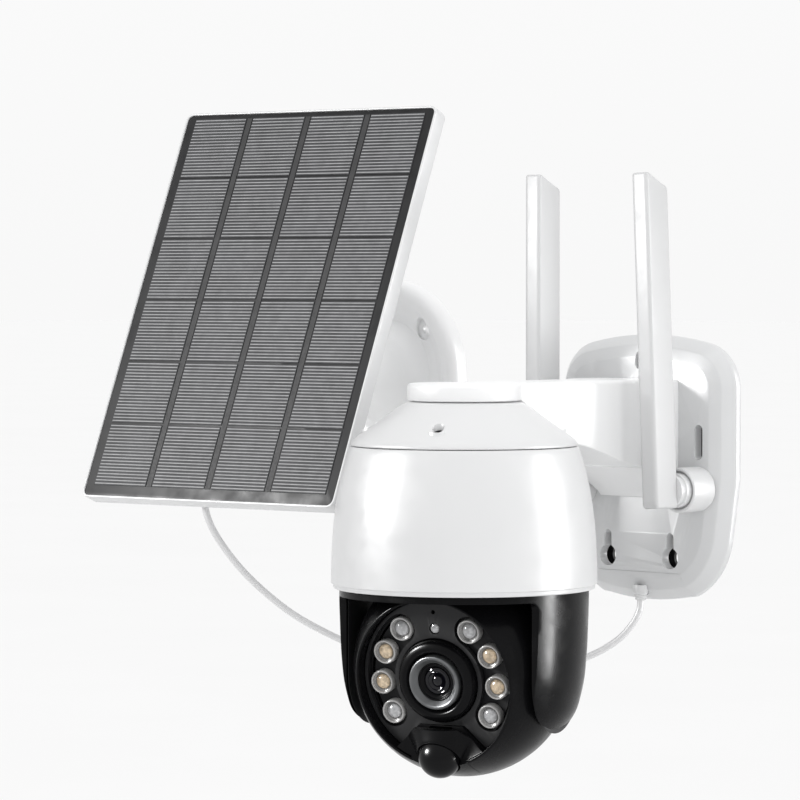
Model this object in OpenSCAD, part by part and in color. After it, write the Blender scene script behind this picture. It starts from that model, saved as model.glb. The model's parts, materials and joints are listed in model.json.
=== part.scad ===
// Solar-powered pan and tilt security camera, with its solar panel beside it.
// Millimetres. The wall is the plane Y = 0 and the object stands out towards -Y.
// The origin is the centre of the camera wall plate's back face, and +Z is up.

/* [Wall plate] */
// Width of the wall plate at its widest
plate_w = 97; // [92:1:104]
// Thickness of the wall plate
plate_t = 10; // [9:0.5:12]
// Spacing of the two keyholes
keyhole_gap = 35; // [30:1:40]
// Spacing of the two side slots
side_slot_gap = 66.4; // [60:0.2:70]

/* [Arm] */
// Distance from the wall to the pan axis
head_out = 120; // [116:1:130]
// Width of the arm between root and head
arm_w = 30; // [26:1:34]
// Width of the arm's root against the plate
root_w = 44; // [40:1:48]
// Height of the arm's flat top above the plate centre
arm_top = 38.5; // [37:0.5:40]
// Radius of the round end over the dome
arm_end_r = 23.4; // [22:0.1:25]

/* [Dome] */
// Largest outer radius of the dome shell
shell_r = 54.7; // [54:0.1:58]
// Height of the seam between cone and shell
seam_z = 13; // [12:0.5:14]
// Height of the shell's bottom rim
rim_z = -45.5; // [-48:0.5:-45]
// Thickness of the dome shell and the cone
wall = 2.3; // [2:0.1:2.6]

/* [Head] */
// Outer radius of the camera ball
ball_r = 45.5; // [45:0.1:46]
// Height of the tilt axis
ball_z = -77.5; // [-78:0.5:-77]
// Half width of the ball between its flat sides
ball_half = 41.3; // [41:0.1:41.5]
// Radius of the yoke skirt
yoke_r = 51.3; // [50.8:0.1:51.4]
// Direction of the head from straight out, at rest
head_pan = 17; // [0:1:40]
// Downward tilt of the head at rest
head_tilt = 10; // [0:1:30]
// Radius of the circle the lamps sit on
lamp_circle_r = 25.9; // [25.4:0.1:26.4]
// Radius of one lamp lens
lamp_r = 5; // [4.6:0.1:5.2]

/* [Antennas] */
// Distance of each antenna from the centre line
ant_x = 33; // [32:0.5:36]
// Height of the antenna swivel axis
ant_z = -8; // [-10:0.5:-6]
// Radius of the antenna socket
socket_r = 9.5; // [9:0.1:10]
// Length of the blade above the swivel axis
blade_len = 134; // [100:1:160]
// Lean of the right blade towards the centre line, at rest
right_lean = 2.5; // [0:0.5:4]

/* [Solar panel] */
// Width of the panel frame
panel_w = 144; // [120:1:150]
// Height of the panel frame
panel_h = 187; // [160:1:190]
// Depth of the panel frame
panel_t = 7.5; // [7:0.5:9]
// Columns of solar cells
cell_cols = 4; // [2:1:5]
// Rows of solar cells
cell_rows = 6; // [4:1:8]
// Upward tilt of the panel face at rest
panel_tilt = 23; // [10:1:30]
// Turn of the panel towards the camera at rest
panel_yaw = 6; // [0:1:8]

/* [Panel wall base] */
// Distance of the base from the camera's centre line
base_x = -155; // [-160:1:-150]
// Height of the base centre
base_z = 36; // [34:1:40]
// Radius of the base
base_r = 45; // [44:1:46]
// Pitch circle of the four wall screws
base_pcd = 64; // [60:1:66]
// Radius of the neck
neck_r = 13.5; // [13:0.5:14]

/* [Cable] */
// Diameter of the solar cable
cable_d = 3; // [2.5:0.5:3.5]

/* [Hidden] */
$fn = 48;
gap = 0.3;
run = 0.05;
white = [0.93, 0.93, 0.92];
black = [0.06, 0.06, 0.07];
plate_half = plate_w / 2;
face_y = -plate_t;
cap_top_z = arm_top - 7.5;
screw_angles = [27, 134, 207, 314];
screw_ring_r = 37.5;
slot_r = 2.2;
socket_front = -23.3;
blade_back = socket_front - 5.4;
sensor_at = [0, -30.8, 27.7];
ir_angles = [-123, -36, 36, 123];
warm_angles = [-94, -65, 65, 94];
ear_half = 24;
ear_in = 42;
rim_d = 29.1;
face_d = 24;
joint_at = [-149.5, -69, 59];
joint_r = 12;
face_at = 30;
back_at = face_at - panel_t;
neck_dir = joint_at - [base_x, 0, base_z];
neck_yaw = atan2(neck_dir[0], -neck_dir[1]);
neck_rise = atan2(neck_dir[2], norm([neck_dir[0], neck_dir[1]]));
neck_len = norm(neck_dir);
lip = 2;
border = 4;
col_gap = 3.8;
row_gap = 0.9;
cell_w = (panel_w - 2 * lip - 2 * border - (cell_cols - 1) * col_gap) / cell_cols;
cell_h = (panel_h - 2 * lip - 2 * border - (cell_rows - 1) * row_gap) / cell_rows;

// Route of the cable from the plate gland to the halfway point
cable_lower = [
    [0, -8.5, -57],
    [-0.5, -9, -62],
    [-3, -11, -68],
    [-8, -14.5, -74.5],
    [-16, -20, -80.5],
    [-26, -26.5, -85],
    [-37, -34, -88],
    [-49, -42, -89.5],
    [-62, -51, -90],
    [-75, -59.5, -88.5]
];

// Route of the cable from the halfway point to the panel's gland
cable_upper = [
    [-75, -59.5, -88.5],
    [-88, -68.5, -85],
    [-101, -77.5, -80],
    [-113, -86.5, -73.5],
    [-124, -95, -66],
    [-133.5, -102.5, -57],
    [-141.5, -109.5, -47],
    [-147.5, -115, -37],
    [-152, -118.5, -28],
    [-154.7, -120, -20],
    [-156, -119.4, -12]
];

// ---- places ----

module at_head() {
    translate([0, -head_out, 0]) children();
}

module at_pan() {
    at_head() rotate([0, 0, head_pan]) children();
}

module at_tilt() {
    at_pan() translate([0, 0, ball_z]) rotate([head_tilt, 0, 0]) children();
}

// Local x is the head's width, y its up and z the way it looks
module at_face() {
    at_tilt() rotate([90, 0, 0]) children();
}

module at_socket(side) {
    translate([side * ant_x, 0, ant_z]) children();
}

module at_blade(side, lean) {
    at_socket(side) rotate([0, -lean, 0]) children();
}

// Local z runs along the neck, away from the wall
module at_neck() {
    translate([base_x, 0, base_z])
        rotate([0, 0, neck_yaw])
            rotate([90 - neck_rise, 0, 0])
                children();
}

module at_joint() {
    translate(joint_at) rotate([0, 0, panel_yaw]) children();
}

// Local x is the panel's width, y its height and z the way it faces
module at_panel() {
    at_joint() rotate([90 - panel_tilt, 0, 0]) children();
}

// ---- shapes ----

// Cylinder along Y from y0 down to y1
module y_cyl(r, y0, y1) {
    translate([0, y0, 0]) rotate([90, 0, 0]) cylinder(r = r, h = y0 - y1);
}

// Cylinder along X from x0 up to x1
module x_cyl(r, x0, x1) {
    translate([x0, 0, 0]) rotate([0, 90, 0]) cylinder(r = r, h = x1 - x0);
}

module tube(r_out, r_in, z0, z1) {
    translate([0, 0, z0]) difference() {
        cylinder(r = r_out, h = z1 - z0);
        translate([0, 0, -1]) cylinder(r = r_in, h = z1 - z0 + 2);
    }
}

// Rounded rectangle centred on the origin
module round_rect(w, h, r) {
    union() {
        square([w - 2 * r, h], center = true);
        square([w, h - 2 * r], center = true);
        for (sx = [-1, 1], sy = [-1, 1])
            translate([sx * (w / 2 - r), sy * (h / 2 - r)]) circle(r = r, $fn = 24);
    }
}

function arc(cx, cz, r, a0, a1, n) =
    [for (i = [0 : n]) let (a = a0 + (a1 - a0) * i / n) [cx + r * cos(a), cz + r * sin(a)]];

// Right half of the plate outline, from its top to its bottom
function plate_half_outline(inset) = concat(
    arc(0, -94, 151.3 - inset, 90, 78, 3),
    arc(plate_half - 20.5, 33.8, 20.5 - inset, 77, 4, 7),
    arc(plate_half - 20.5, -2, 20.5 - inset, -4, -9, 1),
    arc(12, -24.5, 33 - inset, -9, -64, 5),
    arc(0, 64, 121 - inset, -80, -90, 2));

function mirrored(half) =
    concat(half, [for (i = [len(half) - 2 : -1 : 1]) [-half[i][0], half[i][1]]]);

module plate_slab(inset, y0, y1) {
    translate([0, y0, 0]) rotate([90, 0, 0])
        linear_extrude(y0 - y1) polygon(mirrored(plate_half_outline(inset)));
}

// Bevel between two outlines of the plate
module plate_bevel(inset0, y0, inset1, y1) {
    hull() {
        plate_slab(inset0, y0, y0 - 0.01);
        plate_slab(inset1, y1 + 0.01, y1);
    }
}

// Outer radius of the dome shell at height z
function dome_r(z, r_max) = r_max * pow(1 - pow((z + 47) / 94, 2.5), 0.4);

function dome_curve(r_max, z0, z1, n) =
    [for (i = [0 : n]) let (z = z0 + (z1 - z0) * i / n) [dome_r(z, r_max), z]];

// Underside of the arm at distance y from the wall
function arch_z(y) = 13.4 - 0.00455 * pow(y + 85, 2);

// Cone profile, lowered by s and drawn in by s
function cone_profile(s) = [
    [0, cap_top_z - s],
    [23.8 - s * 0.3, cap_top_z - s],
    [36.9 - s * 0.6, 21.8 - s * 0.8],
    [45.1 - s * 0.8, 15.8 - s * 0.6],
    [46.6 - s, 14],
    [46.6 - s, seam_z],
    [0, seam_z]
];

module cap_solid(s) {
    rotate_extrude($fn = 64) polygon(cone_profile(s));
}

// Places of the four screws through the cone
module at_cap_screws() {
    for (a = screw_angles)
        rotate([0, 0, a]) translate([0, -screw_ring_r, 0]) children();
}

// One swept tube along a route of points
function unit(v) = v / norm(v);

function mid_points(p) = concat(
    [p[0]],
    [for (i = [0 : len(p) - 2])
        for (t = [0.5, 1])
            let (a = p[max(i - 1, 0)], b = p[i], c = p[i + 1], d = p[min(i + 2, len(p) - 1)])
                0.5 * (2 * b + t * (c - a) + t * t * (2 * a - 5 * b + 4 * c - d)
                    + t * t * t * (3 * b - a - 3 * c + d))]);

function path_dir(p, i) = unit(p[i + 1] - p[i - 1]);

// Point as far past a as b lies before it
function beyond(a, b) = 2 * a - b;

function ring(p, i, r, n) =
    let (t = path_dir(p, i), s = unit(cross(t, [0.55, -0.83, 0.1])), u = cross(s, t))
        [for (k = [0 : n - 1]) p[i] + r * (cos(360 * k / n) * s + sin(360 * k / n) * u)];

// Tube along a path, whose two ends also look to the points before and after it
module cable_tube(before, path, after, r) {
    n = 8;
    m = len(path);
    points = [for (i = [1 : m]) each ring(concat([before], path, [after]), i, r, n)];
    sides = [for (i = [0 : m - 2], k = [0 : n - 1])
        [i * n + k, i * n + (k + 1) % n, (i + 1) * n + (k + 1) % n, (i + 1) * n + k]];
    start = [[for (k = [n - 1 : -1 : 0]) k]];
    end = [[for (k = [0 : n - 1]) (m - 1) * n + k]];
    polyhedron(points = points, faces = concat(sides, start, end), convexity = 4);
}

// ---- wall plate and arm ----

module keyhole() {
    y_cyl(4.6, 1, -plate_t - 1);
    translate([-2, -plate_t - 1, 0]) cube([4, plate_t + 2, 9]);
    translate([0, 0, 9]) y_cyl(2, 1, -plate_t - 1);
}

module slot(length, r) {
    translate([-r, -plate_t - 1, -length / 2 + r]) cube([2 * r, plate_t + 2, length - 2 * r]);
    for (s = [-1, 1])
        translate([0, 0, s * (length / 2 - r)]) y_cyl(r, 1, -plate_t - 1);
}

module at_arm_screws() {
    for (x = [-14, 14], z = [8, 31])
        translate([x, 0, z]) children();
}

module wall_plate() {
    color(white) difference() {
        union() {
            plate_slab(0, 0, -3);
            plate_bevel(0, -3, 4.6, -plate_t + 2);
            plate_bevel(4.6, -plate_t + 2, 10, face_y);
        }
        difference() {
            union() {
                translate([0, 1, 0]) plate_slab(5.5, 0, -4);
                translate([0, -2, 0]) plate_slab(12, 0, -plate_t + 4.6);
            }
            at_arm_screws() y_cyl(6, 0, -plate_t);
            for (side = [-1, 1]) at_socket(side) y_cyl(8, 0, -plate_t);
            translate([-6, -plate_t, -60]) cube([12, plate_t, 14]);
        }
        translate([0, 1, 0]) plate_slab(3, 0, -2.5);
        wall_holes();
        at_arm_screws() {
            y_cyl(2.1, 1, -plate_t - 1);
            y_cyl(4, 1, -5);
        }
        for (side = [-1, 1]) at_socket(side) {
            y_cyl(2.1, 1, -plate_t - 1);
            y_cyl(4, 1, -5);
        }
        translate([-9, -plate_t - 1, 18]) cube([18, plate_t - 1, 10]);
        translate([0, -8.5, -60]) cylinder(r = 3.5, h = 9.5);
        translate([0, -8.5, -52]) cylinder(r = 1.6, h = 8);
    }
}

// Openings for the wall screws: keyholes, side slots and top slot
module wall_holes() {
    for (x = [-1, 1])
        translate([x * keyhole_gap / 2, 0, -38.3]) keyhole();
    for (x = [-1, 1])
        translate([x * side_slot_gap / 2, 0, 11.8]) slot(15, slot_r);
    translate([0, 0, 46.5]) slot(8, slot_r);
}

// Foam pad between the plate and the wall
module plate_gasket() {
    color(black) difference() {
        plate_slab(3.1, 0, -1.5);
        wall_holes();
    }
}

// Plan of the arm: root, round flare, straight part
module arm_plan(inset) {
    flare = (root_w - arm_w) / 2 + 1;
    half = arm_w / 2 - inset;
    root = root_w / 2 - inset;
    side = concat(
        [[root, face_y], [root, -34]],
        [for (i = [0 : 5]) let (a = 90 * i / 5)
            [half + flare - flare * sin(a) - (i == 0 ? 1 : 0), -34 - flare * (1 - cos(a))]],
        [[half, -head_out]]);
    polygon(concat(side, [for (i = [len(side) - 1 : -1 : 0]) [-side[i][0], side[i][1]]]));
}

// Side view of the arm: flat top, arched underside
module arm_side(inset) {
    far = -head_out;
    polygon(concat(
        [[far, arm_top - inset], [face_y, arm_top - inset]],
        [for (i = [0 : 10]) let (y = face_y + (-75 - face_y) * i / 10) [y, arch_z(y) + inset]],
        [[-77, 13.2 + inset], [far, 13.2 + inset]]));
}

module arm_block(inset) {
    intersection() {
        translate([0, 0, -30]) linear_extrude(80) arm_plan(inset);
        rotate([90, 0, 90]) translate([0, 0, -40]) linear_extrude(80) arm_side(inset);
    }
}

module arm() {
    color(white) difference() {
        union() {
            arm_block(0);
            at_head() translate([0, 0, cap_top_z]) cylinder(r = arm_end_r, h = arm_top - cap_top_z - 2);
            at_head() translate([0, 0, arm_top - 2]) cylinder(r1 = arm_end_r, r2 = arm_end_r - 2, h = 2);
        }
        intersection() {
            arm_block(2.6);
            translate([-30, -66, -20]) cube([60, 66 + face_y + 2.6, 80]);
        }
        translate([-9, -14, 18]) cube([18, 8, 10]);
        translate([-8, -head_out, 31]) cube([16, 60, 4.6]);
        at_head() translate([0, 0, cap_top_z - 1]) cylinder(r = 8, h = 5.6);
        at_head() cap_envelope();
        at_arm_screws() y_cyl(1.6, 0, -16);
        at_head() for (a = [60, 180, 300])
            rotate([0, 0, a]) translate([0, -17, cap_top_z - 1]) cylinder(r = 1.3, h = 6);
    }
}

// Space the cone takes out of the arm
module cap_envelope() {
    rotate_extrude($fn = 64) polygon([
        [0, 0],
        [46.6 + gap, 0],
        [46.6 + gap, 14],
        [45.1 + gap, 15.8 + gap],
        [36.9 + gap, 21.8 + gap],
        [24.2, cap_top_z],
        [0, cap_top_z]
    ]);
}

module arm_screws() {
    color("silver") at_arm_screws() {
        y_cyl(1.6, -5, -15);
        y_cyl(3.2, -2.6, -5);
    }
}

module plate_gland() {
    color(white) translate([0, -8.5, 0]) difference() {
        union() {
            translate([0, 0, -57]) cylinder(r1 = 2.4, r2 = 3.4, h = 3);
            translate([0, 0, -54]) cylinder(r = 3.4, h = 3.5);
        }
        translate([0, 0, -52.6]) cylinder(r = 1.6, h = 3);
    }
}

// ---- antennas ----

module antenna_socket(side) {
    color(white) at_socket(side) difference() {
        y_cyl(socket_r, face_y, socket_front);
        y_cyl(7.5, socket_front + 1.6, socket_front - 1);
        y_cyl(4 + run, face_y + 1, socket_front - 1);
    }
}

module antenna_socket_right() {
    antenna_socket(1);
}

module antenna_socket_left() {
    antenna_socket(-1);
}

module antenna_screws() {
    color("silver") for (side = [-1, 1]) at_socket(side) {
        y_cyl(2, -5, -16);
        y_cyl(3.4, -2.6, -5);
    }
}

module antenna_swivel(side, lean) {
    color(white) at_blade(side, lean) difference() {
        union() {
            y_cyl(4, -11, socket_front + 1.5);
            y_cyl(7.3, socket_front + 1.5, socket_front - 2.4);
            y_cyl(6.4, socket_front - 2.4, blade_back);
        }
        y_cyl(2 + run, -9, -17);
    }
}

module antenna_swivel_right() {
    antenna_swivel(1, right_lean);
}

module antenna_swivel_left() {
    antenna_swivel(-1, 0);
}

// Blade outline seen from the side, with its slanted tip
module blade(side, lean) {
    back = blade_back;
    front = back - 13.5;
    color(white) at_blade(side, lean) difference() {
        intersection() {
            rotate([90, 0, 90]) translate([0, 0, -4.2]) linear_extrude(8.4) polygon(concat(
                [[back, -7.3], [back, blade_len - 8], [back - 1, blade_len - 6.2],
                    [front + 3, blade_len], [front, blade_len]],
                [[front, -5.3], [front + 2, -7.3]]));
            linear_extrude(2 * blade_len, center = true) polygon([
                [-4.2, back], [4.2, back], [4.2, front + 1.8], [2.6, front],
                [-2.6, front], [-4.2, front + 1.8]]);
        }
    }
}

module antenna_blade_right() {
    blade(1, right_lean);
}

module antenna_blade_left() {
    blade(-1, 0);
}

// ---- dome ----

module dome_cap() {
    color(white) at_head() difference() {
        union() {
            difference() {
                cap_solid(0);
                difference() {
                    translate([0, 0, -0.01]) cap_solid(wall);
                    at_cap_screws() cylinder(r = 4.5, h = 40);
                }
            }
            tube(44.6, 42.6, seam_z - 3, seam_z + 0.8);
        }
        at_cap_screws() {
            translate([0, 0, 17]) cylinder(r = 2.5, h = 20);
            cylinder(r = 1.7, h = 30);
        }
        cylinder(r = 8, h = 40);
        for (a = [60, 180, 300])
            rotate([0, 0, a]) translate([0, -17, 20]) cylinder(r = 1.7, h = 20);
        at_cap_screws() translate([0, 0, seam_z - 4]) cylinder(r = 4.6, h = 4);
    }
}

module cap_gasket() {
    color(black) at_head() tube(14, 10, cap_top_z - wall - 1.5, cap_top_z - wall - run);
}

module cap_screws() {
    color([0.2, 0.2, 0.2]) at_head() {
        at_cap_screws() {
            translate([0, 0, 17]) cylinder(r = 2.3, h = 1.8);
            translate([0, 0, 2]) cylinder(r = 1.5, h = 15);
        }
        for (a = [60, 180, 300]) rotate([0, 0, a]) translate([0, -17, 0]) {
            translate([0, 0, cap_top_z - wall - 2]) cylinder(r = 2.6, h = 2 - run);
            translate([0, 0, cap_top_z - wall - 1]) cylinder(r = 1.3, h = 7);
        }
    }
}

module dome_shell() {
    color(white) at_head() difference() {
        union() {
            rotate_extrude($fn = 72) polygon(concat(
                dome_curve(shell_r, seam_z - gap, rim_z + 2.4, 12),
                [[shell_r - 1, rim_z + 1.8], [shell_r - 1, rim_z]],
                [[shell_r - wall, rim_z]],
                dome_curve(shell_r - wall, rim_z + 2, seam_z - gap, 12)));
            intersection() {
                at_cap_screws() union() {
                    translate([0, 0, -12]) cylinder(r = 4, h = 24.7);
                    translate([-1.2, -14, -12]) cube([2.4, 12, 24.7]);
                }
                rotate_extrude($fn = 72) polygon(concat(
                    [[0, rim_z]], dome_curve(shell_r - 1, rim_z, seam_z - gap, 6),
                    [[0, seam_z - gap]]));
            }
        }
        at_cap_screws() translate([0, 0, -13]) cylinder(r = 1.5, h = 40);
        translate([0, 0, -4]) y_cyl(4 + run, 60, 40);
        tube(44.9, 42.3, seam_z - 3.3, seam_z + 1);
    }
}

module power_button() {
    color([0.25, 0.25, 0.27]) at_head() translate([0, 0, -4]) {
        y_cyl(4, 52.9, 47);
        y_cyl(4.8, 47.7, 46.6);
    }
}

module switch_board() {
    color("darkgreen") at_head() translate([-9, 41.5, -12]) {
        cube([18, 1.6, 16]);
        translate([6, 1.6, 5]) cube([6, 2.4, 6]);
    }
}

module chassis_plate() {
    color([0.75, 0.75, 0.74]) at_head() difference() {
        translate([0, 0, -15]) cylinder(r = 49.8, h = 3);
        translate([0, 0, -16]) cylinder(r = 9, h = 5);
        at_cap_screws() translate([0, 0, -16]) cylinder(r = 1.6, h = 5);
        for (a = [0, 120, 240]) rotate([0, 0, a + 20]) translate([37.2, 0, -16])
            cylinder(r = 1, h = 5);
    }
}

module chassis_screws() {
    color("silver") at_head() at_cap_screws() {
        translate([0, 0, -16.6]) cylinder(r = 2.4, h = 1.6);
        translate([0, 0, -15]) cylinder(r = 1.5, h = 14);
    }
}

module main_board() {
    color("darkgreen") at_head() {
        difference() {
            translate([0, 0, 10]) cylinder(r = 32, h = 1.6);
            translate([-8, -6, 9]) cube([6, 12, 4]);
        }
        translate([4, -14, 11.6]) cube([14, 14, 1.4]);
        translate([-22, 6, 11.6]) cube([20, 12, 3]);
        for (a = [10.5, 150.5, 190, 330]) rotate([0, 0, a]) translate([0, -28, -12])
            cylinder(r = 1.8, h = 22.8);
    }
}

// Frame of the two battery cells, one each side of the pan motor
module at_cells() {
    at_head() for (s = [-1, 1])
        rotate([0, 0, 80.5]) translate([0, s * 24.2, -1.4]) children();
}

module battery_cells() {
    color([0.2, 0.35, 0.6]) at_cells() x_cyl(9.15, -24.7, 24.7);
}

module battery_cradle() {
    color([0.3, 0.3, 0.3]) at_cells() difference() {
        translate([-22, -8, -10.6]) cube([44, 16, 6]);
        x_cyl(9.15, -30, 30);
    }
}

module pan_motor() {
    color("silver") at_head() difference() {
        union() {
            translate([0, 0, -12]) cylinder(r = 13.5, h = 17);
            translate([0, 0, -15.2]) cylinder(r = 5, h = 3.2);
        }
        translate([0, 0, -16]) cylinder(r = 2.5 + run, h = 12);
    }
}

module turntable_ring() {
    color([0.7, 0.7, 0.68]) at_head() difference() {
        union() {
            tube(39, 34.5 + run, -21.6, -15);
            tube(35.2, 31 + run, -21.6, -19.1);
        }
        at_cap_screws() translate([0, 0, -17]) cylinder(r = 3, h = 3);
    }
}

// ---- yoke, which pans ----

function yoke_profile() = [
    [0, -27],
    [49.6, -27],
    [yoke_r, -30],
    [yoke_r, -50],
    [yoke_r - 0.4, -62],
    [yoke_r - 0.8, -72],
    [49.4, -84],
    [46.6, -95],
    [43.4, -100.5],
    [38, -106],
    [0, -106]
];

// Ear outline, seen along the tilt axis
module ear_side() {
    union() {
        translate([-ear_half, -81]) square([2 * ear_half, 54]);
        translate([0, -81]) circle(r = ear_half, $fn = 48);
    }
}

module yoke() {
    color(black) at_pan() difference() {
        union() {
            intersection() {
                rotate_extrude($fn = 72) polygon(yoke_profile());
                union() {
                    difference() {
                        translate([-60, -60, -48.5]) cube([120, 120, 30]);
                        translate([0, 0, -60]) cylinder(r = yoke_r - 2.3, h = 30, $fn = 72);
                    }
                    for (s = [0, 180]) rotate([0, 0, s])
                        translate([ear_in, 0, 0]) rotate([90, 0, 90])
                            linear_extrude(20) ear_side();
                }
            }
            tube(31, 28, -27.5, -16.3);
            tube(34.5, 30.5, -18.9, -16.3);
            translate([0, 0, -27.5]) cylinder(r = 8, h = 11.2);
        }
        translate([0, 0, -26]) cylinder(r = 2.5, h = 12);
        translate([0, 0, ball_z]) {
            x_cyl(6, ear_in - 1, ear_in + 4.5);
            x_cyl(6, -ear_in - 4.5, -ear_in + 1);
        }
        for (a = [70, 250]) rotate([0, 0, a]) translate([18, 0, -31]) cylinder(r = 5, h = 6);
    }
}

module pan_shaft() {
    color("gray") at_head() translate([0, 0, -26]) cylinder(r = 2.5, h = 20);
}

module tilt_shaft() {
    color("gray") at_pan() translate([0, 0, ball_z]) {
        x_cyl(6, 37.6, ear_in + 4.5);
        x_cyl(2.5, 28, 38);
    }
}

module tilt_pivot() {
    color("gray") at_pan() translate([0, 0, ball_z]) difference() {
        x_cyl(6, -ear_in - 4.5, -36);
        x_cyl(4, -ear_in - 4.4, -35);
    }
}

// ---- ball, which tilts ----

// Ball trimmed to its flat sides, of radius r and half width h
module trimmed_ball(r, h) {
    intersection() {
        sphere(r = r, $fn = 72);
        cube([2 * h, 4 * r, 4 * r], center = true);
    }
}

module ball_skin() {
    difference() {
        trimmed_ball(ball_r, ball_half);
        trimmed_ball(ball_r - 2.6, ball_half - 2.6);
        x_cyl(8, -60, -30);
        x_cyl(8, 30, 60);
    }
}

// Wedge below the lens that the motion sensor stands in
module sensor_wedge(grow) {
    translate([0, 0, -20]) linear_extrude(80) polygon([
        [-9.9 - grow, -18.7 + grow * 0.6],
        [9.9 + grow, -18.7 + grow * 0.6],
        [38 + grow, -46],
        [38 + grow, -60],
        [-38 - grow, -60],
        [-38 - grow, -46]
    ]);
}

module at_ball_screws() {
    for (x = [-29, 29], y = [-27, 27])
        translate([x, y, 0]) children();
}

module ball_front() {
    color(black) at_face() difference() {
        union() {
            intersection() {
                ball_skin();
                translate([-60, -60, 0]) cube([120, 120, rim_d]);
            }
            intersection() {
                trimmed_ball(ball_r - 1, ball_half - 1);
                tube(60, 31.1, face_d - 5, face_d - 2.4);
            }
            intersection() {
                trimmed_ball(ball_r - 1, ball_half - 1);
                at_ball_screws() cylinder(r = 3.6, h = 12);
            }
        }
        translate([0, 0, face_d - 2.4]) cylinder(r = 33.8, h = 20);
        at_ball_screws() translate([0, 0, -1]) cylinder(r = 1.3, h = 10);
        sensor_notch();
    }
}

// Gap in the front shell for the motion sensor housing
module sensor_notch() {
    intersection() {
        sensor_wedge(0);
        translate([-13, -60, face_d - 6]) cube([26, 40, 40]);
    }
}

module ball_rear() {
    color(black) at_face() difference() {
        union() {
            intersection() {
                ball_skin();
                translate([-60, -60, -60]) cube([120, 120, 60]);
            }
            intersection() {
                trimmed_ball(ball_r - 1, ball_half - 1);
                at_ball_screws() translate([0, 0, -40]) cylinder(r = 3.6, h = 40);
            }
        }
        at_ball_screws() {
            translate([0, 0, -60]) cylinder(r = 2.9, h = 50);
            translate([0, 0, -12]) cylinder(r = 1.6, h = 13);
        }
    }
}

module ball_screws() {
    color("silver") at_face() at_ball_screws() {
        translate([0, 0, -12]) cylinder(r = 2.6, h = 2);
        translate([0, 0, -10]) cylinder(r = 1.3, h = 18);
    }
}

module tilt_bushes() {
    color("white") at_tilt() for (s = [0, 180]) rotate([0, 0, s]) difference() {
        union() {
            x_cyl(8, ball_half - 3.6, ball_half);
            x_cyl(9.5, ball_half - 3.8, ball_half - 2.6);
        }
        x_cyl(6 + run, 30, 50);
    }
}

module tilt_motor() {
    color("silver") at_tilt() difference() {
        union() {
            x_cyl(11, 18, 34);
            x_cyl(14, 34, 35.2);
            difference() {
                x_cyl(13, 35.2, ball_half - 2.6);
                x_cyl(10.5, 35, 40);
            }
        }
        x_cyl(2.5 + run, 27, 40);
    }
}

// Ring-shaped slot that shows the lamps
module lamp_window() {
    difference() {
        circle(r = 32, $fn = 64);
        circle(r = 18.9, $fn = 64);
        for (s = [0, 180]) rotate([0, 0, s]) polygon([
            [0, 0],
            [60 * sin(20), 60 * cos(20)],
            [-60 * sin(20), 60 * cos(20)]
        ]);
        translate([-40, -60]) square([80, 60 - 22.5]);
    }
}

module face_plate() {
    color([0.16, 0.16, 0.17]) at_face() difference() {
        translate([0, 0, face_d - 2.4]) cylinder(r = 33.7, h = 2.4);
        translate([0, 0, face_d - 3]) linear_extrude(4) lamp_window();
        translate([0, 0, face_d - 3]) cylinder(r = 17.4, h = 4);
        sensor_wedge(0.2);
        translate([0, 28.6, face_d - 3]) cylinder(r = 0.9, h = 4);
        translate([0, 21.6, face_d - 3]) cylinder(r = 2.1, h = 4);
    }
}

module lamp_board() {
    color([0.05, 0.05, 0.05]) at_face() difference() {
        translate([0, 0, face_d - 5]) cylinder(r = 30.4, h = 1.6);
        translate([0, 0, face_d - 6]) cylinder(r = 12, h = 4);
        sensor_wedge(0.2);
    }
}

module lamps(angles) {
    at_face() for (a = angles)
        rotate([0, 0, -a]) translate([0, lamp_circle_r, face_d - 3.4]) {
            cylinder(r = lamp_r, h = 3.2, $fn = 32);
            translate([0, 0, 3.2]) cylinder(r1 = lamp_r, r2 = lamp_r - 1.6, h = 1.2, $fn = 32);
        }
}

module infrared_lamps() {
    color([0.85, 0.87, 0.9]) lamps(ir_angles);
}

module warm_lamps() {
    color([0.95, 0.85, 0.65]) lamps(warm_angles);
}

module lens_bezel() {
    color(black) at_face() difference() {
        union() {
            translate([0, 0, face_d - 3.4]) cylinder(r = 17.2, h = 5);
            translate([0, 0, face_d + 1.6]) cylinder(r1 = 17.2, r2 = 13.5, h = 2.6);
            translate([0, 0, face_d - 3.4]) cylinder(r = 18.6, h = 1);
        }
        translate([0, 0, face_d - 2]) cylinder(r = 11.6, h = 10);
        translate([0, 0, face_d - 4]) cylinder(r = 8, h = 10);
        sensor_wedge(0.2);
    }
}

module lens_ring() {
    color([0.55, 0.56, 0.58]) at_face() difference() {
        translate([0, 0, face_d - 2]) cylinder(r = 11.3, h = 6.6);
        translate([0, 0, face_d + 1]) cylinder(r1 = 5.8, r2 = 9.6, h = 3.7);
        translate([0, 0, face_d - 3]) cylinder(r = 5.8, h = 5);
    }
}

module lens_glass() {
    color([0.02, 0.02, 0.04]) at_face() {
        translate([0, 0, face_d - 2]) cylinder(r = 5.5, h = 3);
        translate([0, 0, face_d + 1]) cylinder(r1 = 5, r2 = 3, h = 1);
    }
}

module lens_barrel() {
    color([0.1, 0.1, 0.1]) at_face() difference() {
        translate([0, 0, 3.6]) cylinder(r = 7.5, h = face_d - 5.6);
        translate([0, 0, 3]) cylinder(r = 4.5, h = 30);
    }
}

module sensor_board() {
    color("darkgreen") at_face() {
        translate([-15, -15, 2]) cube([30, 30, 1.6]);
        translate([-3, -3, 3.6]) cube([6, 6, 1]);
    }
}

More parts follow.
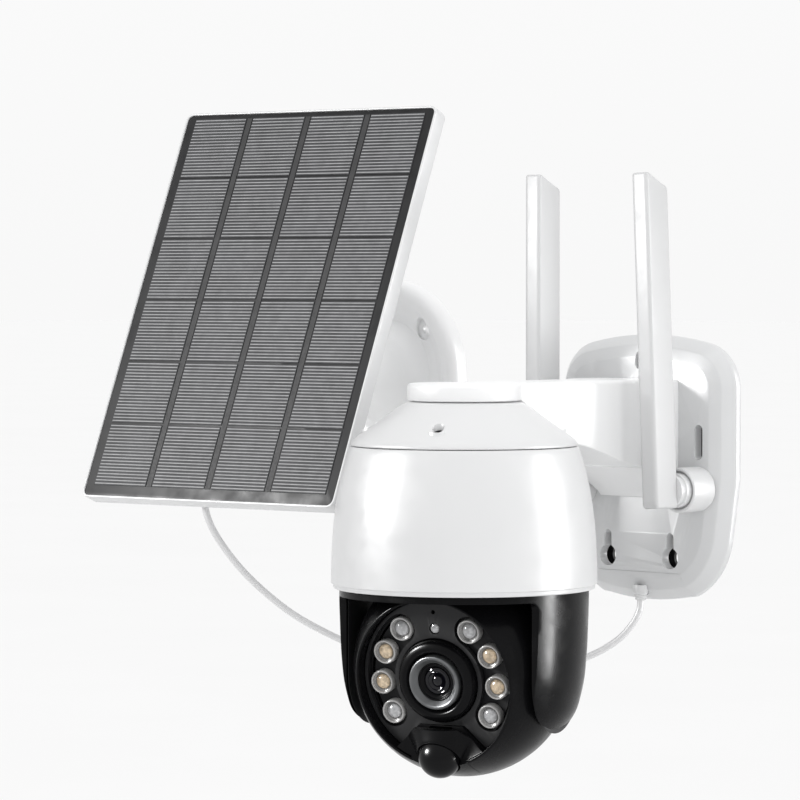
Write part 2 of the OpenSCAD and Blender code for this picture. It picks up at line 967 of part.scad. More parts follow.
module motion_sensor_housing() {
    color(black) at_face() difference() {
        intersection() {
            sensor_wedge(0);
            union() {
                translate([-12.8, -60, face_d - 5.8]) cube([25.6, 60, 30]);
                translate([0, 0, face_d - 2.35]) cylinder(r = 33.7, h = 30);
            }
            union() {
                intersection() {
                    trimmed_ball(ball_r, ball_half);
                    rotate_extrude($fn = 72) polygon([
                        [17.5, face_d - 5.8],
                        [46, face_d - 5.8],
                        [46, rim_d],
                        [35, rim_d],
                        [17.5, face_d + 0.5]
                    ]);
                }
                at_sensor() translate([0, 0, -6]) cylinder(r1 = 15, r2 = 9.3, h = 7);
            }
        }
        at_sensor() intersection() {
            sphere(r = 8.5);
            translate([0, 0, -4]) cylinder(r = 20, h = 20);
        }
        at_sensor() cylinder(r = 8.5, h = 20);
        at_sensor() translate([0, 0, -10]) cylinder(r = 6, h = 7);
        translate([0, 0, face_d - 6]) cylinder(r = 17.5, h = 20);
    }
}

// Centre of the motion sensor's dome, looking below the lens
module at_sensor() {
    translate(sensor_at) rotate([35, 0, 0]) children();
}

module motion_sensor_dome() {
    color([0.03, 0.03, 0.03]) at_face() at_sensor() difference() {
        sphere(r = 8.4);
        sphere(r = 7);
        translate([0, 0, -20]) cylinder(r = 10, h = 16);
    }
}

module light_sensor() {
    color([0.8, 0.82, 0.85]) at_face() translate([0, 21.6, face_d - 3.4]) {
        cylinder(r = 2, h = 2.6);
        translate([0, 0, 2.6]) cylinder(r1 = 2, r2 = 1, h = 0.8);
    }
}

// ---- solar panel ----

module panel_base() {
    color(white) translate([base_x, 0, base_z]) difference() {
        rotate([90, 0, 0]) rotate_extrude($fn = 72) polygon([
            [0, 0], [base_r, 0], [base_r, 5.5], [base_r - 0.9, 7.6], [base_r - 2.6, 9],
            [base_r - 5, 9.6], [base_r - 7.6, 9], [base_r - 10.5, 7], [base_r - 14, 5],
            [base_r - 18, 4.4], [neck_r + 9, 5.2], [neck_r + 7, 7.8], [neck_r + 6, 11],
            [neck_r + 5.5, 13], [0, 13]
        ]);
        for (a = [45 : 90 : 315]) rotate([0, a, 0]) translate([base_pcd / 2, 0, 0]) {
            y_cyl(2.5, 1, -20);
            y_cyl(5.2, -3, -20);
        }
    }
}

// Neck that carries the socket; its foot is flat against the base
module panel_neck() {
    color(white) difference() {
        union() {
            at_neck() cylinder(r = neck_r, h = neck_len - joint_r - 5.5);
            at_neck() translate([0, 0, neck_len - joint_r - 6]) cylinder(r1 = neck_r, r2 = 16, h = 4);
            at_neck() translate([0, 0, neck_len - joint_r - 2]) cylinder(r = 16, h = joint_r);
        }
        translate([base_x - 60, -13, base_z - 60]) cube([120, 40, 120]);
        translate(joint_at) sphere(r = joint_r + gap);
    }
}

module clamp_ring() {
    color(white) at_neck() difference() {
        union() {
            translate([0, 0, neck_len - 2]) cylinder(r = 16, h = 5);
            translate([0, 0, neck_len + 3]) cylinder(r1 = 16, r2 = 14, h = 2);
        }
        translate([0, 0, neck_len]) sphere(r = joint_r + gap);
        translate([0, 0, neck_len + 2]) cylinder(r1 = 11.6, r2 = 13.5, h = 4);
    }
}

module swivel_ball() {
    color([0.85, 0.85, 0.84]) at_joint() difference() {
        sphere(r = joint_r);
        translate([-3.1, -20, -11]) cube([6.2, 20, 22]);
        translate([-3.1, 0, 0]) x_cyl(9, 0, 6.2);
        x_cyl(1.5, -20, 20);
        cylinder(r = 1.5, h = 40, center = true);
    }
}

module cross_pin() {
    color("silver") at_joint() x_cyl(1.5, -11, 11);
}

module ball_stud() {
    color(white) at_panel() difference() {
        union() {
            x_cyl(7.5, -3, 3);
            intersection() {
                translate([-3, -4.5, 0]) cube([6, 9, 12.2]);
                translate([0, 0, 6]) cube([6, 9, 13], center = true);
            }
            translate([0, 0, 12.1]) cylinder(r = 4.5, h = back_at - 12.1);
            translate([0, 0, back_at - 6]) cylinder(r1 = 4.5, r2 = 9, h = 3);
            translate([0, 0, back_at - 3]) cylinder(r = 20, h = 3);
        }
        x_cyl(1.5 + run, -5, 5);
    }
}

module panel_frame() {
    color(white) at_panel() difference() {
        translate([0, 0, back_at]) linear_extrude(panel_t) round_rect(panel_w, panel_h, 4);
        translate([0, 0, back_at - 1]) linear_extrude(panel_t - 2.5)
            round_rect(panel_w - 5, panel_h - 5, 2);
        translate([0, 0, back_at + 1.5]) linear_extrude(panel_t)
            round_rect(panel_w - 2 * lip, panel_h - 2 * lip, 2);
    }
}

module panel_back() {
    color(white) at_panel() difference() {
        translate([0, 0, back_at]) linear_extrude(2) round_rect(panel_w - 5, panel_h - 5, 2);
        translate([-12, -52, back_at - 1]) cylinder(r = 5, h = 4);
    }
}

module solar_substrate() {
    color([0.03, 0.03, 0.035]) at_panel() translate([0, 0, face_at - 3])
        linear_extrude(2.4) round_rect(panel_w - 2 * lip, panel_h - 2 * lip, 2);
}

module solar_cells() {
    color([0.3, 0.3, 0.31]) at_panel() translate([0, 0, face_at - 0.6])
        for (i = [0 : cell_cols - 1], j = [0 : cell_rows - 1])
            translate([
                (i - (cell_cols - 1) / 2) * (cell_w + col_gap) - cell_w / 2,
                (j - (cell_rows - 1) / 2) * (cell_h + row_gap) - cell_h / 2,
                0
            ]) cube([cell_w, cell_h, 0.3]);
}

module junction_box() {
    color([0.1, 0.1, 0.1]) at_panel() difference() {
        translate([-32, -76, back_at - 9]) cube([40, 30, 9]);
        translate([-29.5, -73.5, back_at - 6.5]) cube([35, 25, 7]);
        translate([-12, -70, back_at - 4.5]) rotate([90, 0, 0]) cylinder(r = 2, h = 10);
    }
}

module panel_gland() {
    color(white) at_panel() translate([-12, -76, back_at - 4.5]) rotate([90, 0, 0])
        difference() {
            union() {
                cylinder(r = 3.6, h = 4);
                translate([0, 0, 4]) cylinder(r1 = 3.6, r2 = 2.2, h = 4.4);
            }
            translate([0, 0, -1]) cylinder(r = 1.2, h = 4);
        }
}

lower_path = mid_points(cable_lower);
upper_path = mid_points(cable_upper);

module solar_cable_lower() {
    before = beyond(lower_path[0], lower_path[1]);
    color(white) cable_tube(before, lower_path, upper_path[1], cable_d / 2);
}

module solar_cable_upper() {
    last = len(upper_path) - 1;
    before = lower_path[len(lower_path) - 2];
    after = beyond(upper_path[last], upper_path[last - 1]);
    color(white) cable_tube(before, upper_path, after, cable_d / 2);
}

wall_plate();
plate_gasket();
arm();
arm_screws();
antenna_socket_right();
antenna_socket_left();
antenna_screws();
plate_gland();
dome_cap();
cap_gasket();
cap_screws();
dome_shell();
power_button();
switch_board();
chassis_plate();
chassis_screws();
main_board();
battery_cells();
battery_cradle();
pan_motor();
turntable_ring();
yoke();
pan_shaft();
tilt_shaft();
tilt_pivot();
ball_front();
ball_rear();
ball_screws();
tilt_bushes();
tilt_motor();
face_plate();
lamp_board();
infrared_lamps();
warm_lamps();
lens_bezel();
lens_ring();
lens_glass();
lens_barrel();
sensor_board();
motion_sensor_housing();
motion_sensor_dome();
light_sensor();
antenna_blade_right();
antenna_blade_left();
antenna_swivel_right();
antenna_swivel_left();
panel_base();
panel_neck();
clamp_ring();
swivel_ball();
cross_pin();
ball_stud();
panel_frame();
panel_back();
solar_substrate();
solar_cells();
junction_box();
panel_gland();
solar_cable_lower();
solar_cable_upper();
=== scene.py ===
import json
from math import atan2, cos, degrees, hypot, pi, radians, sin, sqrt

import bmesh
import bpy
from mathutils import Matrix, Vector


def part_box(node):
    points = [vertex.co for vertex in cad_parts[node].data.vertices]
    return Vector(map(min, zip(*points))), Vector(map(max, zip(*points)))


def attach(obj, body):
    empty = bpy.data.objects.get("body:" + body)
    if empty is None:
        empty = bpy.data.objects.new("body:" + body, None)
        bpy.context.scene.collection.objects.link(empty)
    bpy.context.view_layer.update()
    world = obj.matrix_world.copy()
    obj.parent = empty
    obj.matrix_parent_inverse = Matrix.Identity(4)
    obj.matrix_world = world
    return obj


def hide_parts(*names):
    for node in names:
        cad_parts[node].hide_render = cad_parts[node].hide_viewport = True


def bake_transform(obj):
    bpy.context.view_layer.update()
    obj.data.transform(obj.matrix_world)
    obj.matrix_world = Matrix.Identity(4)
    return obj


# Solar-powered pan and tilt security camera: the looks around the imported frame.
# Shapes are worked out in millimetres and turned into metres as each piece is placed.
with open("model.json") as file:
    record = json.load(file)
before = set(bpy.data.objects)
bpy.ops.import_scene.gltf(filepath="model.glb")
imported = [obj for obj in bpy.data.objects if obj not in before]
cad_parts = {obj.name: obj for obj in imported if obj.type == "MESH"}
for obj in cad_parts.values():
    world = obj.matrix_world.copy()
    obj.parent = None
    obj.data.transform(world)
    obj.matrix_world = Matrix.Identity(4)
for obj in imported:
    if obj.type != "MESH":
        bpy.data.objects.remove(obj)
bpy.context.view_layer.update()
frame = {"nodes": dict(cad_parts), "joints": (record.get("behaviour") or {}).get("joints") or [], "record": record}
MM = 0.001
SCENE = bpy.context.scene


# ---- camera, at the photograph's viewing angle ----

camera = bpy.data.objects.new("camera", bpy.data.cameras.new("camera"))
SCENE.collection.objects.link(camera)
camera.location = (1.1204, -1.3181, 0.0816)
camera.rotation_euler = (radians(88.253), 0, radians(44))
camera.data.sensor_width = 36
camera.data.lens = 180
SCENE.camera = camera


# ---- places ----

joints = {joint["name"]: joint for joint in frame["joints"]}
slot_of = {part["node"]: part["material_slot"] for part in frame["record"]["subparts"]}
body_of = {
    node: body
    for body, nodes in frame["record"]["behaviour"]["bodies"].items()
    for node in nodes
}
HEAD_TILT = 10
PANEL_TILT = 23
RIGHT_LEAN = 2.5


def joint_at(name):
    return Vector(joints[name]["pos_m"]) / MM


def heading(name):
    """Angle of a joint's level axis from +X, in degrees."""
    x, y, _ = joints[name]["axis"]
    return degrees(atan2(y, x))


def turned(angle, axis):
    return Matrix.Rotation(radians(angle), 4, axis)


def moved(x, y, z):
    return Matrix.Translation((x, y, z))


# Local z points away from the wall, y up and x right
WALL = turned(90, "X")
HEAD = moved(0, joint_at("head_pan").y, 0)
PAN = HEAD @ turned(heading("head_tilt"), "Z")
TILT = PAN @ moved(0, 0, joint_at("head_tilt").z) @ turned(HEAD_TILT, "X")
# Local z is the way the camera looks, y its up and x its width
FACE = TILT @ turned(90, "X")
JOINT = Matrix.Translation(joint_at("panel_tilt")) @ turned(heading("panel_tilt"), "Z")
# Local z is the way the panel faces, y its height and x its width
PANEL = JOINT @ turned(90 - PANEL_TILT, "X")

base_low, base_high = (Vector(corner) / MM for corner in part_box("panel_base"))
BASE_AT = Vector(((base_low.x + base_high.x) / 2, 0, (base_low.z + base_high.z) / 2))
BASE = Matrix.Translation(BASE_AT) @ WALL
neck_way = joint_at("panel_tilt") - BASE_AT
NECK_LEN = neck_way.length
NECK_YAW = degrees(atan2(neck_way.x, -neck_way.y))
NECK_RISE = degrees(atan2(neck_way.z, hypot(neck_way.x, neck_way.y)))
NECK = Matrix.Translation(BASE_AT) @ turned(NECK_YAW, "Z") @ turned(90 - NECK_RISE, "X")


def socket_place(side, lean=0):
    """Swivel axis of one antenna, pointing away from the wall."""
    at = joint_at("antenna_right_swivel" if side > 0 else "antenna_left_swivel")
    return moved(at.x, 0, at.z) @ turned(-lean, "Y") @ WALL


# ---- materials ----

GRAIN_DEPTH = 0.0002


def noise(tree, where, scale, detail=3.0):
    """Noise over the surface, at a scale given per metre."""
    texture = tree.nodes.new("ShaderNodeTexNoise")
    texture.inputs["Scale"].default_value = scale
    texture.inputs["Detail"].default_value = detail
    tree.links.new(where, texture.inputs["Vector"])
    return texture.outputs["Fac"]


def ramp(tree, value, low, high, dark, light):
    """Colour that runs from dark to light as value runs from low to high."""
    node = tree.nodes.new("ShaderNodeValToRGB")
    for stop, place, colour in zip(node.color_ramp.elements, (low, high), (dark, light)):
        stop.position = place
        stop.color = (*colour, 1)
    tree.links.new(value, node.inputs["Fac"])
    return node.outputs["Color"]


def spread(tree, value, low, high):
    """Value of a noise, about 0.35 to 0.65, mapped to low to high."""
    node = tree.nodes.new("ShaderNodeMapRange")
    for name, number in zip(("From Min", "From Max", "To Min", "To Max"), (0.35, 0.65, low, high)):
        node.inputs[name].default_value = number
    tree.links.new(value, node.inputs["Value"])
    return node.outputs["Result"]


def surface(name, colour, gloss, tint=0.05, tint_scale=22, grain=1400, bump=0.03, **sockets):
    """Procedural surface: a slowly drifting tint, uneven gloss and a fine moulded grain."""
    material = bpy.data.materials.new(name)
    material.use_nodes = True
    tree = material.node_tree
    bsdf = tree.nodes["Principled BSDF"]
    where = tree.nodes.new("ShaderNodeTexCoord").outputs["Object"]
    dark = [c * (1 - tint) for c in colour]
    light = [min(1, c * (1 + tint)) for c in colour]
    drift = noise(tree, where, tint_scale)
    tree.links.new(ramp(tree, drift, 0.35, 0.65, dark, light), bsdf.inputs["Base Color"])
    smudge = noise(tree, where, tint_scale * 5, 5)
    tree.links.new(spread(tree, smudge, gloss[0], gloss[1]), bsdf.inputs["Roughness"])
    relief = tree.nodes.new("ShaderNodeBump")
    relief.inputs["Strength"].default_value = bump
    relief.inputs["Distance"].default_value = GRAIN_DEPTH
    tree.links.new(noise(tree, where, grain, 2), relief.inputs["Height"])
    tree.links.new(relief.outputs["Normal"], bsdf.inputs["Normal"])
    for key, value in sockets.items():
        bsdf.inputs[key.replace("_", " ")].default_value = value
    return material


# Each has its colour, its lowest and highest roughness, and what differs from surface()'s values.
# A name that is also a material slot's is that slot's usual look; add() takes the others as look.
MATERIALS = {
    "white_shell": surface("white_shell", (0.67, 0.673, 0.677), (0.3, 0.42), 0.01, bump=0.02,
                           Specular_IOR_Level=0.22),
    # Lighter copy of the white plastic: painted light on the arm and on the panel's base and neck
    "white_painted_light": surface("white_painted_light", (0.82, 0.823, 0.826), (0.3, 0.42), 0.01, bump=0.02,
                            Specular_IOR_Level=0.3),
    # Darker copy of the white plastic: painted shade on the antenna blades
    "antenna_white_painted_shade": surface("antenna_white_painted_shade", (0.6, 0.603, 0.607), (0.36, 0.46), 0.01, bump=0.02,
                             Specular_IOR_Level=0.1),
    # Darker copy of the white plastic: painted shade on the wall plate's face
    "plate_white_painted_shade": surface("plate_white_painted_shade", (0.62, 0.625, 0.63), (0.3, 0.42), 0.015, bump=0.02,
                           Specular_IOR_Level=0.3),
    "black_gloss": surface("black_gloss", (0.004, 0.004, 0.0045), (0.2, 0.3), 0.15, bump=0.015,
                           Specular_IOR_Level=0.07),
    "face_grey": surface("face_grey", (0.016, 0.016, 0.017), (0.34, 0.46), 0.1, bump=0.04,
                         Specular_IOR_Level=0.2),
    "rubber": surface("rubber", (0.012, 0.012, 0.013), (0.65, 0.85), 0.2, 60, 900, 0.25,
                      Specular_IOR_Level=0.2),
    "cable_white": surface("cable_white", (0.7, 0.7, 0.705), (0.4, 0.52), 0.02, bump=0.05),
    "steel": surface("steel", (0.55, 0.55, 0.56), (0.22, 0.42), 0.08, 60, 2200, 0.1, Metallic=1),
    "screw_dark": surface("screw_dark", (0.08, 0.08, 0.085), (0.3, 0.5), 0.15, 80, 1800, 0.1,
                          Metallic=1),
    "lens_metal": surface("lens_metal", (0.1, 0.103, 0.106), (0.3, 0.42), 0.06, 80, 2400, 0.04,
                          Metallic=0.6),
    "lens_glass": surface("lens_glass", (0.002, 0.002, 0.004), (0.03, 0.06), 0.2, bump=0.0,
                          Specular_IOR_Level=0.3),
    "lamp_clear": surface("lamp_clear", (0.42, 0.422, 0.43), (0.08, 0.16), 0.25, 700, bump=0.02,
                          Coat_Weight=0.6, Coat_Roughness=0.05),
    "lamp_warm": surface("lamp_warm", (0.58, 0.46, 0.32), (0.12, 0.24), 0.3, 700, bump=0.02,
                         Coat_Weight=0.4, Coat_Roughness=0.08),
    "lamp_rim": surface("lamp_rim", (0.42, 0.415, 0.41), (0.2, 0.35), 0.08, 300, bump=0.03),
    "lamp_bowl": surface("lamp_bowl", (0.2, 0.198, 0.195), (0.15, 0.3), 0.1, 300, bump=0.03,
                         Metallic=0.5),
    "sensor_black": surface("sensor_black", (0.003, 0.003, 0.0035), (0.16, 0.22), 0.2, bump=0.005,
                            Specular_IOR_Level=0.12),
    "grey_part": surface("grey_part", (0.2, 0.2, 0.205), (0.4, 0.55), 0.08, bump=0.05),
    "board_green": surface("board_green", (0.02, 0.12, 0.05), (0.3, 0.5), 0.25, 120, bump=0.08),
    "cell_wrap": surface("cell_wrap", (0.05, 0.16, 0.4), (0.2, 0.32), 0.1, bump=0.02),
    "solar_cell": surface("solar_cell", (0.05, 0.051, 0.054), (0.45, 0.55), 0.22, 90, 700, 0.04,
                          Specular_IOR_Level=0.05),
    "solar_back": surface("solar_back", (0.012, 0.012, 0.013), (0.4, 0.55), 0.2, bump=0.03,
                          Specular_IOR_Level=0.08),
    "box_black": surface("box_black", (0.008, 0.008, 0.009), (0.45, 0.6), 0.2, bump=0.1,
                         Specular_IOR_Level=0.2),
    "solar_line": surface("solar_line", (0.3, 0.3, 0.308), (0.45, 0.55), 0.12, 200, bump=0.02,
                          Specular_IOR_Level=0.1),
    "solar_gap": surface("solar_gap", (0.025, 0.025, 0.026), (0.45, 0.6), 0.2, 200, bump=0.04,
                         Specular_IOR_Level=0.08),
    "floor": surface("floor", (0.88, 0.88, 0.88), (0.8, 0.9), 0.004, 3, 60, 0.005,
                     Specular_IOR_Level=0.0),
}


# ---- mesh building ----


def arc(cx, cy, r, start, end, steps):
    """Points on a circle from one angle to another, in degrees."""
    angles = (radians(start + (end - start) * i / steps) for i in range(steps + 1))
    return [(cx + r * cos(a), cy + r * sin(a)) for a in angles]


def fillet(points, radius, steps=4, closed=False):
    """Rounds a line's corners; radius is one number, or a list with one for each point."""
    rounded = []
    for i, point in enumerate(points):
        r = radius[i] if isinstance(radius, (list, tuple)) else radius
        if r == 0 or (not closed and i in (0, len(points) - 1)):
            rounded.append(tuple(point))
            continue
        here = Vector(point)
        before = Vector(points[i - 1]) - here
        after = Vector(points[(i + 1) % len(points)]) - here
        start = before.normalized() * min(r, before.length * 0.48)
        end = after.normalized() * min(r, after.length * 0.48)
        for k in range(steps + 1):
            t = k / steps
            rounded.append(tuple(here + start * (1 - t) ** 2 + end * t ** 2))
    return rounded


def inset(outline, distance):
    """A closed outline's points, each moved inwards along its own normal."""
    count = len(outline)
    area = sum(
        outline[i][0] * outline[(i + 1) % count][1] - outline[(i + 1) % count][0] * outline[i][1]
        for i in range(count)
    )
    side = 1 if area > 0 else -1
    moved_in = []
    for i, point in enumerate(outline):
        before = (Vector(point) - Vector(outline[i - 1])).normalized()
        after = (Vector(outline[(i + 1) % count]) - Vector(point)).normalized()
        along = (before + after).normalized()
        normal = Vector((-along.y, along.x)) * side
        miter = distance / max(0.4, along.dot(before))
        moved_in.append(tuple(Vector(point) + normal * miter))
    return moved_in


def loft(rings, wrap=False):
    """Closed solid through rings of points; wrap joins the last ring to the first."""
    bm = bmesh.new()
    rows = [[bm.verts.new(point) for point in ring] for ring in rings]
    count = len(rows[0])
    pairs = list(zip(rows, rows[1:])) + ([(rows[-1], rows[0])] if wrap else [])
    for a, b in pairs:
        for i in range(count):
            j = (i + 1) % count
            bm.faces.new((a[i], a[j], b[j], b[i]))
    if not wrap:
        bm.faces.new(reversed(rows[0]))
        bm.faces.new(rows[-1])
    bmesh.ops.remove_doubles(bm, verts=bm.verts, dist=1e-4)
    return bm


def lathe(profile, count=128, wrap=False):
    """Solid of revolution about z from (radius, height) points."""
    return loft([
        [(r * cos(2 * pi * i / count), r * sin(2 * pi * i / count), z) for i in range(count)]
        for r, z in profile
    ], wrap)


def stack(outline, levels):
    """Solid whose outline is inset by the first number at the height of the second."""
    return loft([[(x, y, z) for x, y in inset(outline, by)] for by, z in levels])


def rounded_levels(z0, z1, r, steps=3):
    """Levels of a slab with rounded edges top and bottom."""
    turn = [pi / 2 * i / steps for i in range(steps + 1)]
    low = [(r * (1 - sin(a)), z0 + r * (1 - cos(a))) for a in turn]
    return low + [(by, z1 - (z - z0)) for by, z in reversed(low)]


def rounded_rectangle(w, h, r, steps=6):
    """Outline of a rectangle about the origin with rounded corners."""
    return [
        point
        for sx, sy, start in ((1, 1, 0), (-1, 1, 90), (-1, -1, 180), (1, -1, 270))
        for point in arc(sx * (w / 2 - r), sy * (h / 2 - r), r, start, start + 90, steps)
    ]


def block(x0, x1, y0, y1, z0, z1, r=0.3):
    """Box with rounded edges."""
    cx, cy = (x0 + x1) / 2, (y0 + y1) / 2
    outline = rounded_rectangle(x1 - x0, y1 - y0, max(r, 0.01), 3)
    return stack([(x + cx, y + cy) for x, y in outline], rounded_levels(z0, z1, r))


def merged(*meshes):
    """Several bmesh shapes as one."""
    whole = bmesh.new()
    for bm in meshes:
        part = bpy.data.meshes.new("part")
        bm.to_mesh(part)
        bm.free()
        whole.from_mesh(part)
        bpy.data.meshes.remove(part)
    return whole


def placed(bm, place):
    bm.transform(place)
    return bm


def solid(bm, name="tool"):
    """Turns a bmesh into an object in the scene."""
    bmesh.ops.recalc_face_normals(bm, faces=bm.faces)
    mesh = bpy.data.meshes.new(name)
    bm.to_mesh(mesh)
    bm.free()
    obj = bpy.data.objects.new(name, mesh)
    SCENE.collection.objects.link(obj)
    return obj


def bake(obj):
    """Applies an object's modifiers to its mesh."""
    shape = obj.evaluated_get(bpy.context.evaluated_depsgraph_get())
    mesh = bpy.data.meshes.new_from_object(shape)
    obj.modifiers.clear()
    obj.data = mesh


def combine(obj, how, *tools):
    """Adds (UNION), takes away (DIFFERENCE) or keeps only (INTERSECT) each tool's volume."""
    for bm in tools:
        tool = bm if isinstance(bm, bpy.types.Object) else solid(bm)
        modifier = obj.modifiers.new("combine", "BOOLEAN")
        modifier.operation, modifier.solver, modifier.object = how, "MANIFOLD", tool
        bake(obj)
        bpy.data.objects.remove(tool)
    return obj


def rounded_edges(obj, width, angle, segments=2):
    """Rounds every edge that is sharper than the angle."""
    modifier = obj.modifiers.new("edges", "BEVEL")
    modifier.width, modifier.segments, modifier.limit_method = width, segments, "ANGLE"
    modifier.angle_limit = radians(angle)
    bake(obj)
    return obj


def add(name, shape, place, *nodes, body=None, slot=None, look=None, sharp=32):
    """Places a finished shape, gives it its material, hangs it on its body unless body is False, and hides the CAD
    pieces it stands for.
    """
    obj = shape if isinstance(shape, bpy.types.Object) else solid(shape)
    obj.name = obj.data.name = name
    obj.data.transform(Matrix.Scale(MM, 4) @ place)
    slot = slot or slot_of[nodes[0]]
    obj.data.materials.clear()
    obj.data.materials.append(MATERIALS[look or slot])
    obj.data.polygons.foreach_set("use_smooth", [True] * len(obj.data.polygons))
    obj.data.set_sharp_from_angle(angle=radians(sharp))
    if body is not False:
        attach(obj, body or body_of[nodes[0]])
    if nodes:
        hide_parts(*nodes)
    return obj


# ---- solar cable: the route's points are those of the CAD model, in metres ----

CABLE_D = 0.003
CABLE_LOWER = [
    (0, -0.0085, -0.057), (-0.0005, -0.009, -0.062), (-0.003, -0.011, -0.068),
    (-0.008, -0.0145, -0.0745), (-0.016, -0.020, -0.0805), (-0.026, -0.0265, -0.085),
    (-0.037, -0.034, -0.088), (-0.049, -0.042, -0.0895), (-0.062, -0.051, -0.090),
    (-0.075, -0.0595, -0.0885),
]
CABLE_UPPER = [
    (-0.075, -0.0595, -0.0885), (-0.088, -0.0685, -0.085), (-0.101, -0.0775, -0.080),
    (-0.113, -0.0865, -0.0735), (-0.124, -0.095, -0.066), (-0.1335, -0.1025, -0.057),
    (-0.1415, -0.1095, -0.047), (-0.1475, -0.115, -0.037), (-0.152, -0.1185, -0.028),
    (-0.1547, -0.120, -0.020), (-0.156, -0.1194, -0.012),
]


def smooth_route(route, steps=6):
    """Catmull-Rom curve through the route's points."""
    points = [Vector(p) for p in route]
    curve = [points[0]]
    for i in range(len(points) - 1):
        a, b = points[max(i - 1, 0)], points[i]
        c, d = points[i + 1], points[min(i + 2, len(points) - 1)]
        for k in range(1, steps + 1):
            t = k / steps
            curve.append(0.5 * (
                2 * b + t * (c - a) + t ** 2 * (2 * a - 5 * b + 4 * c - d)
                + t ** 3 * (3 * b - a - 3 * c + d)
            ))
    return curve


def swept(before, path, after, radius, sides=20):
    """Tube along a path; its end rings also look to the points before and after it."""
    rings = []
    across = Vector((0.55, -0.83, 0.1))
    around = [before, *path, after]
    for i, point in enumerate(path):
        along = (around[i + 2] - around[i]).normalized()
        across = (across - along * across.dot(along)).normalized()
        up = along.cross(across)
        rings.append([
            point + radius * (cos(2 * pi * k / sides) * across + sin(2 * pi * k / sides) * up)
            for k in range(sides)
        ])
    return rings


def cable(name, route, before, after, node):
    """One half of the cable: a tube along its route whose ends look to the points beyond them."""
    path = smooth_route(route)
    tube = loft([[p / MM for p in ring] for ring in swept(before, path, after, CABLE_D / 2)])
    obj = add(name, tube, Matrix(), node, body=False)
    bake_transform(obj)


def beyond(a, b):
    """The point as far past a as b lies before it."""
    return 2 * Vector(a) - Vector(b)


cable("cable_lower", CABLE_LOWER, beyond(*CABLE_LOWER[:2]), smooth_route(CABLE_UPPER)[1],
      "solar_cable_lower")
cable("cable_upper", CABLE_UPPER, smooth_route(CABLE_LOWER)[-2], beyond(*CABLE_UPPER[:-3:-1]),
      "solar_cable_upper")


# ---- wall plate ----


def plate_outline():
    """Shield outline of the wall plate: x across, y up."""
    half = (
        arc(0, -94, 151.3, 90, 78, 14)
        + arc(28, 33.8, 20.5, 77, 4, 20)
        + arc(28, -2, 20.5, -4, -9, 3)
        + arc(12, -24.5, 33, -9, -66, 18)
        + arc(0, 64, 121, -79.5, -90, 8)
    )
    return half + [(-x, y) for x, y in reversed(half[1:-1])]


def pillar(x, y, r, z0, z1, count=64):
    """Cylinder along z, used for bosses and bores."""
    return placed(lathe([(r, z0), (r, z1)], count), moved(x, y, 0))


KEYHOLE_X, KEYHOLE_Y, KEYHOLE_R = 17.5, -38.3, 4.6
SLOT_R = 2.2
# Across, up and length
SLOTS = ((33.2, 11.8, 15), (-33.2, 11.8, 15), (0, 46.5, 8))
PAD_SHRINK = (0.936, 0.946)
ARM_SCREWS = [(x, y) for x in (-14, 14) for y in (8, 31)]
SOCKET_AT = [(joint_at(name).x, joint_at(name).z)
             for name in ("antenna_right_swivel", "antenna_left_swivel")]


def keyhole(x):
    head = arc(x, KEYHOLE_Y, KEYHOLE_R, 116, 424, 40)
    neck = arc(x, KEYHOLE_Y + 9, 2, 0, 180, 10)
    return loft([[(px, py, z) for px, py in head + neck] for z in (-1, 12)])


def upright_slot(x, y, length):
    half = length / 2 - SLOT_R
    ends = arc(x, y + half, SLOT_R, 0, 180, 12) + arc(x, y - half, SLOT_R, 180, 360, 12)
    return loft([[(px, py, z) for px, py in ends] for z in (-1, 12)])


def wall_openings():
    """Keyholes and slots, as one shape to take away."""
    return merged(keyhole(KEYHOLE_X), keyhole(-KEYHOLE_X), *[upright_slot(*at) for at in SLOTS])


def wall_plate():
    """Bevelled shield, hollow behind, with the foam pad that lies in its back."""
    outline = plate_outline()
    plate = solid(stack(outline, [
        (0.5, 0), (0.1, 0.15), (0, 0.5), (0, 2.6), (0.12, 3.1), (0.5, 3.7), (4.0, 7.5),
        (4.4, 7.9), (4.9, 8.15), (9.2, 9.75), (9.7, 9.92), (10.3, 10),
    ]))
    pad_seat = stack(outline, [(3, -1), (3, 1.5)])
    pocket = [stack(outline, [(5.5, 1), (5.5, 4)]), stack(outline, [(12, 3), (12, 5.4)])]
    bosses = [pillar(x, y, 6, 1.5, 6) for x, y in ARM_SCREWS]
    bosses += [pillar(x, y, 8, 1.5, 6) for x, y in SOCKET_AT]
    bosses.append(block(-6, 6, -53.5, -46, 1.5, 6, 0.1))
    bores = [pillar(x, y, 2.1, -1, 11) for x, y in ARM_SCREWS + SOCKET_AT]
    gland_seat = placed(lathe([(3.5, 0), (3.5, 9.5)], 48), moved(0, -60, 8.5) @ turned(-90, "X"))
    combine(plate, "DIFFERENCE", pad_seat, *pocket)
    combine(plate, "UNION", *bosses)
    combine(plate, "DIFFERENCE", wall_openings(), merged(*bores), gland_seat)
    rounded_edges(plate, 0.35, 55)
    # The plate gets the darker copy of the white plastic, which paints shade on its face.
    add("plate", plate, WALL, "wall_plate", look="plate_white_painted_shade", sharp=40)
    pad = solid(stack(outline, rounded_levels(0, 1.5, 0.3)))
    pad.data.transform(Matrix.Diagonal((*PAD_SHRINK, 1, 1)))
    combine(pad, "DIFFERENCE", wall_openings())
    add("plate_pad", pad, WALL, "plate_gasket")


# ---- arm ----

ARM_TOP = 38.5
CAP_PROFILE = [(0, 31), (23.8, 31), (36.9, 21.8), (45.1, 15.8), (46.6, 14), (46.6, 13)]


def cap_z(r):
    """Height of the cap's surface at distance r from the pan axis."""
    for (r0, z0), (r1, z1) in zip(CAP_PROFILE, CAP_PROFILE[1:]):
        if r <= r1 and r1 > r0:
            return z0 + (z1 - z0) * (r - r0) / (r1 - r0)
    return CAP_PROFILE[-1][1]


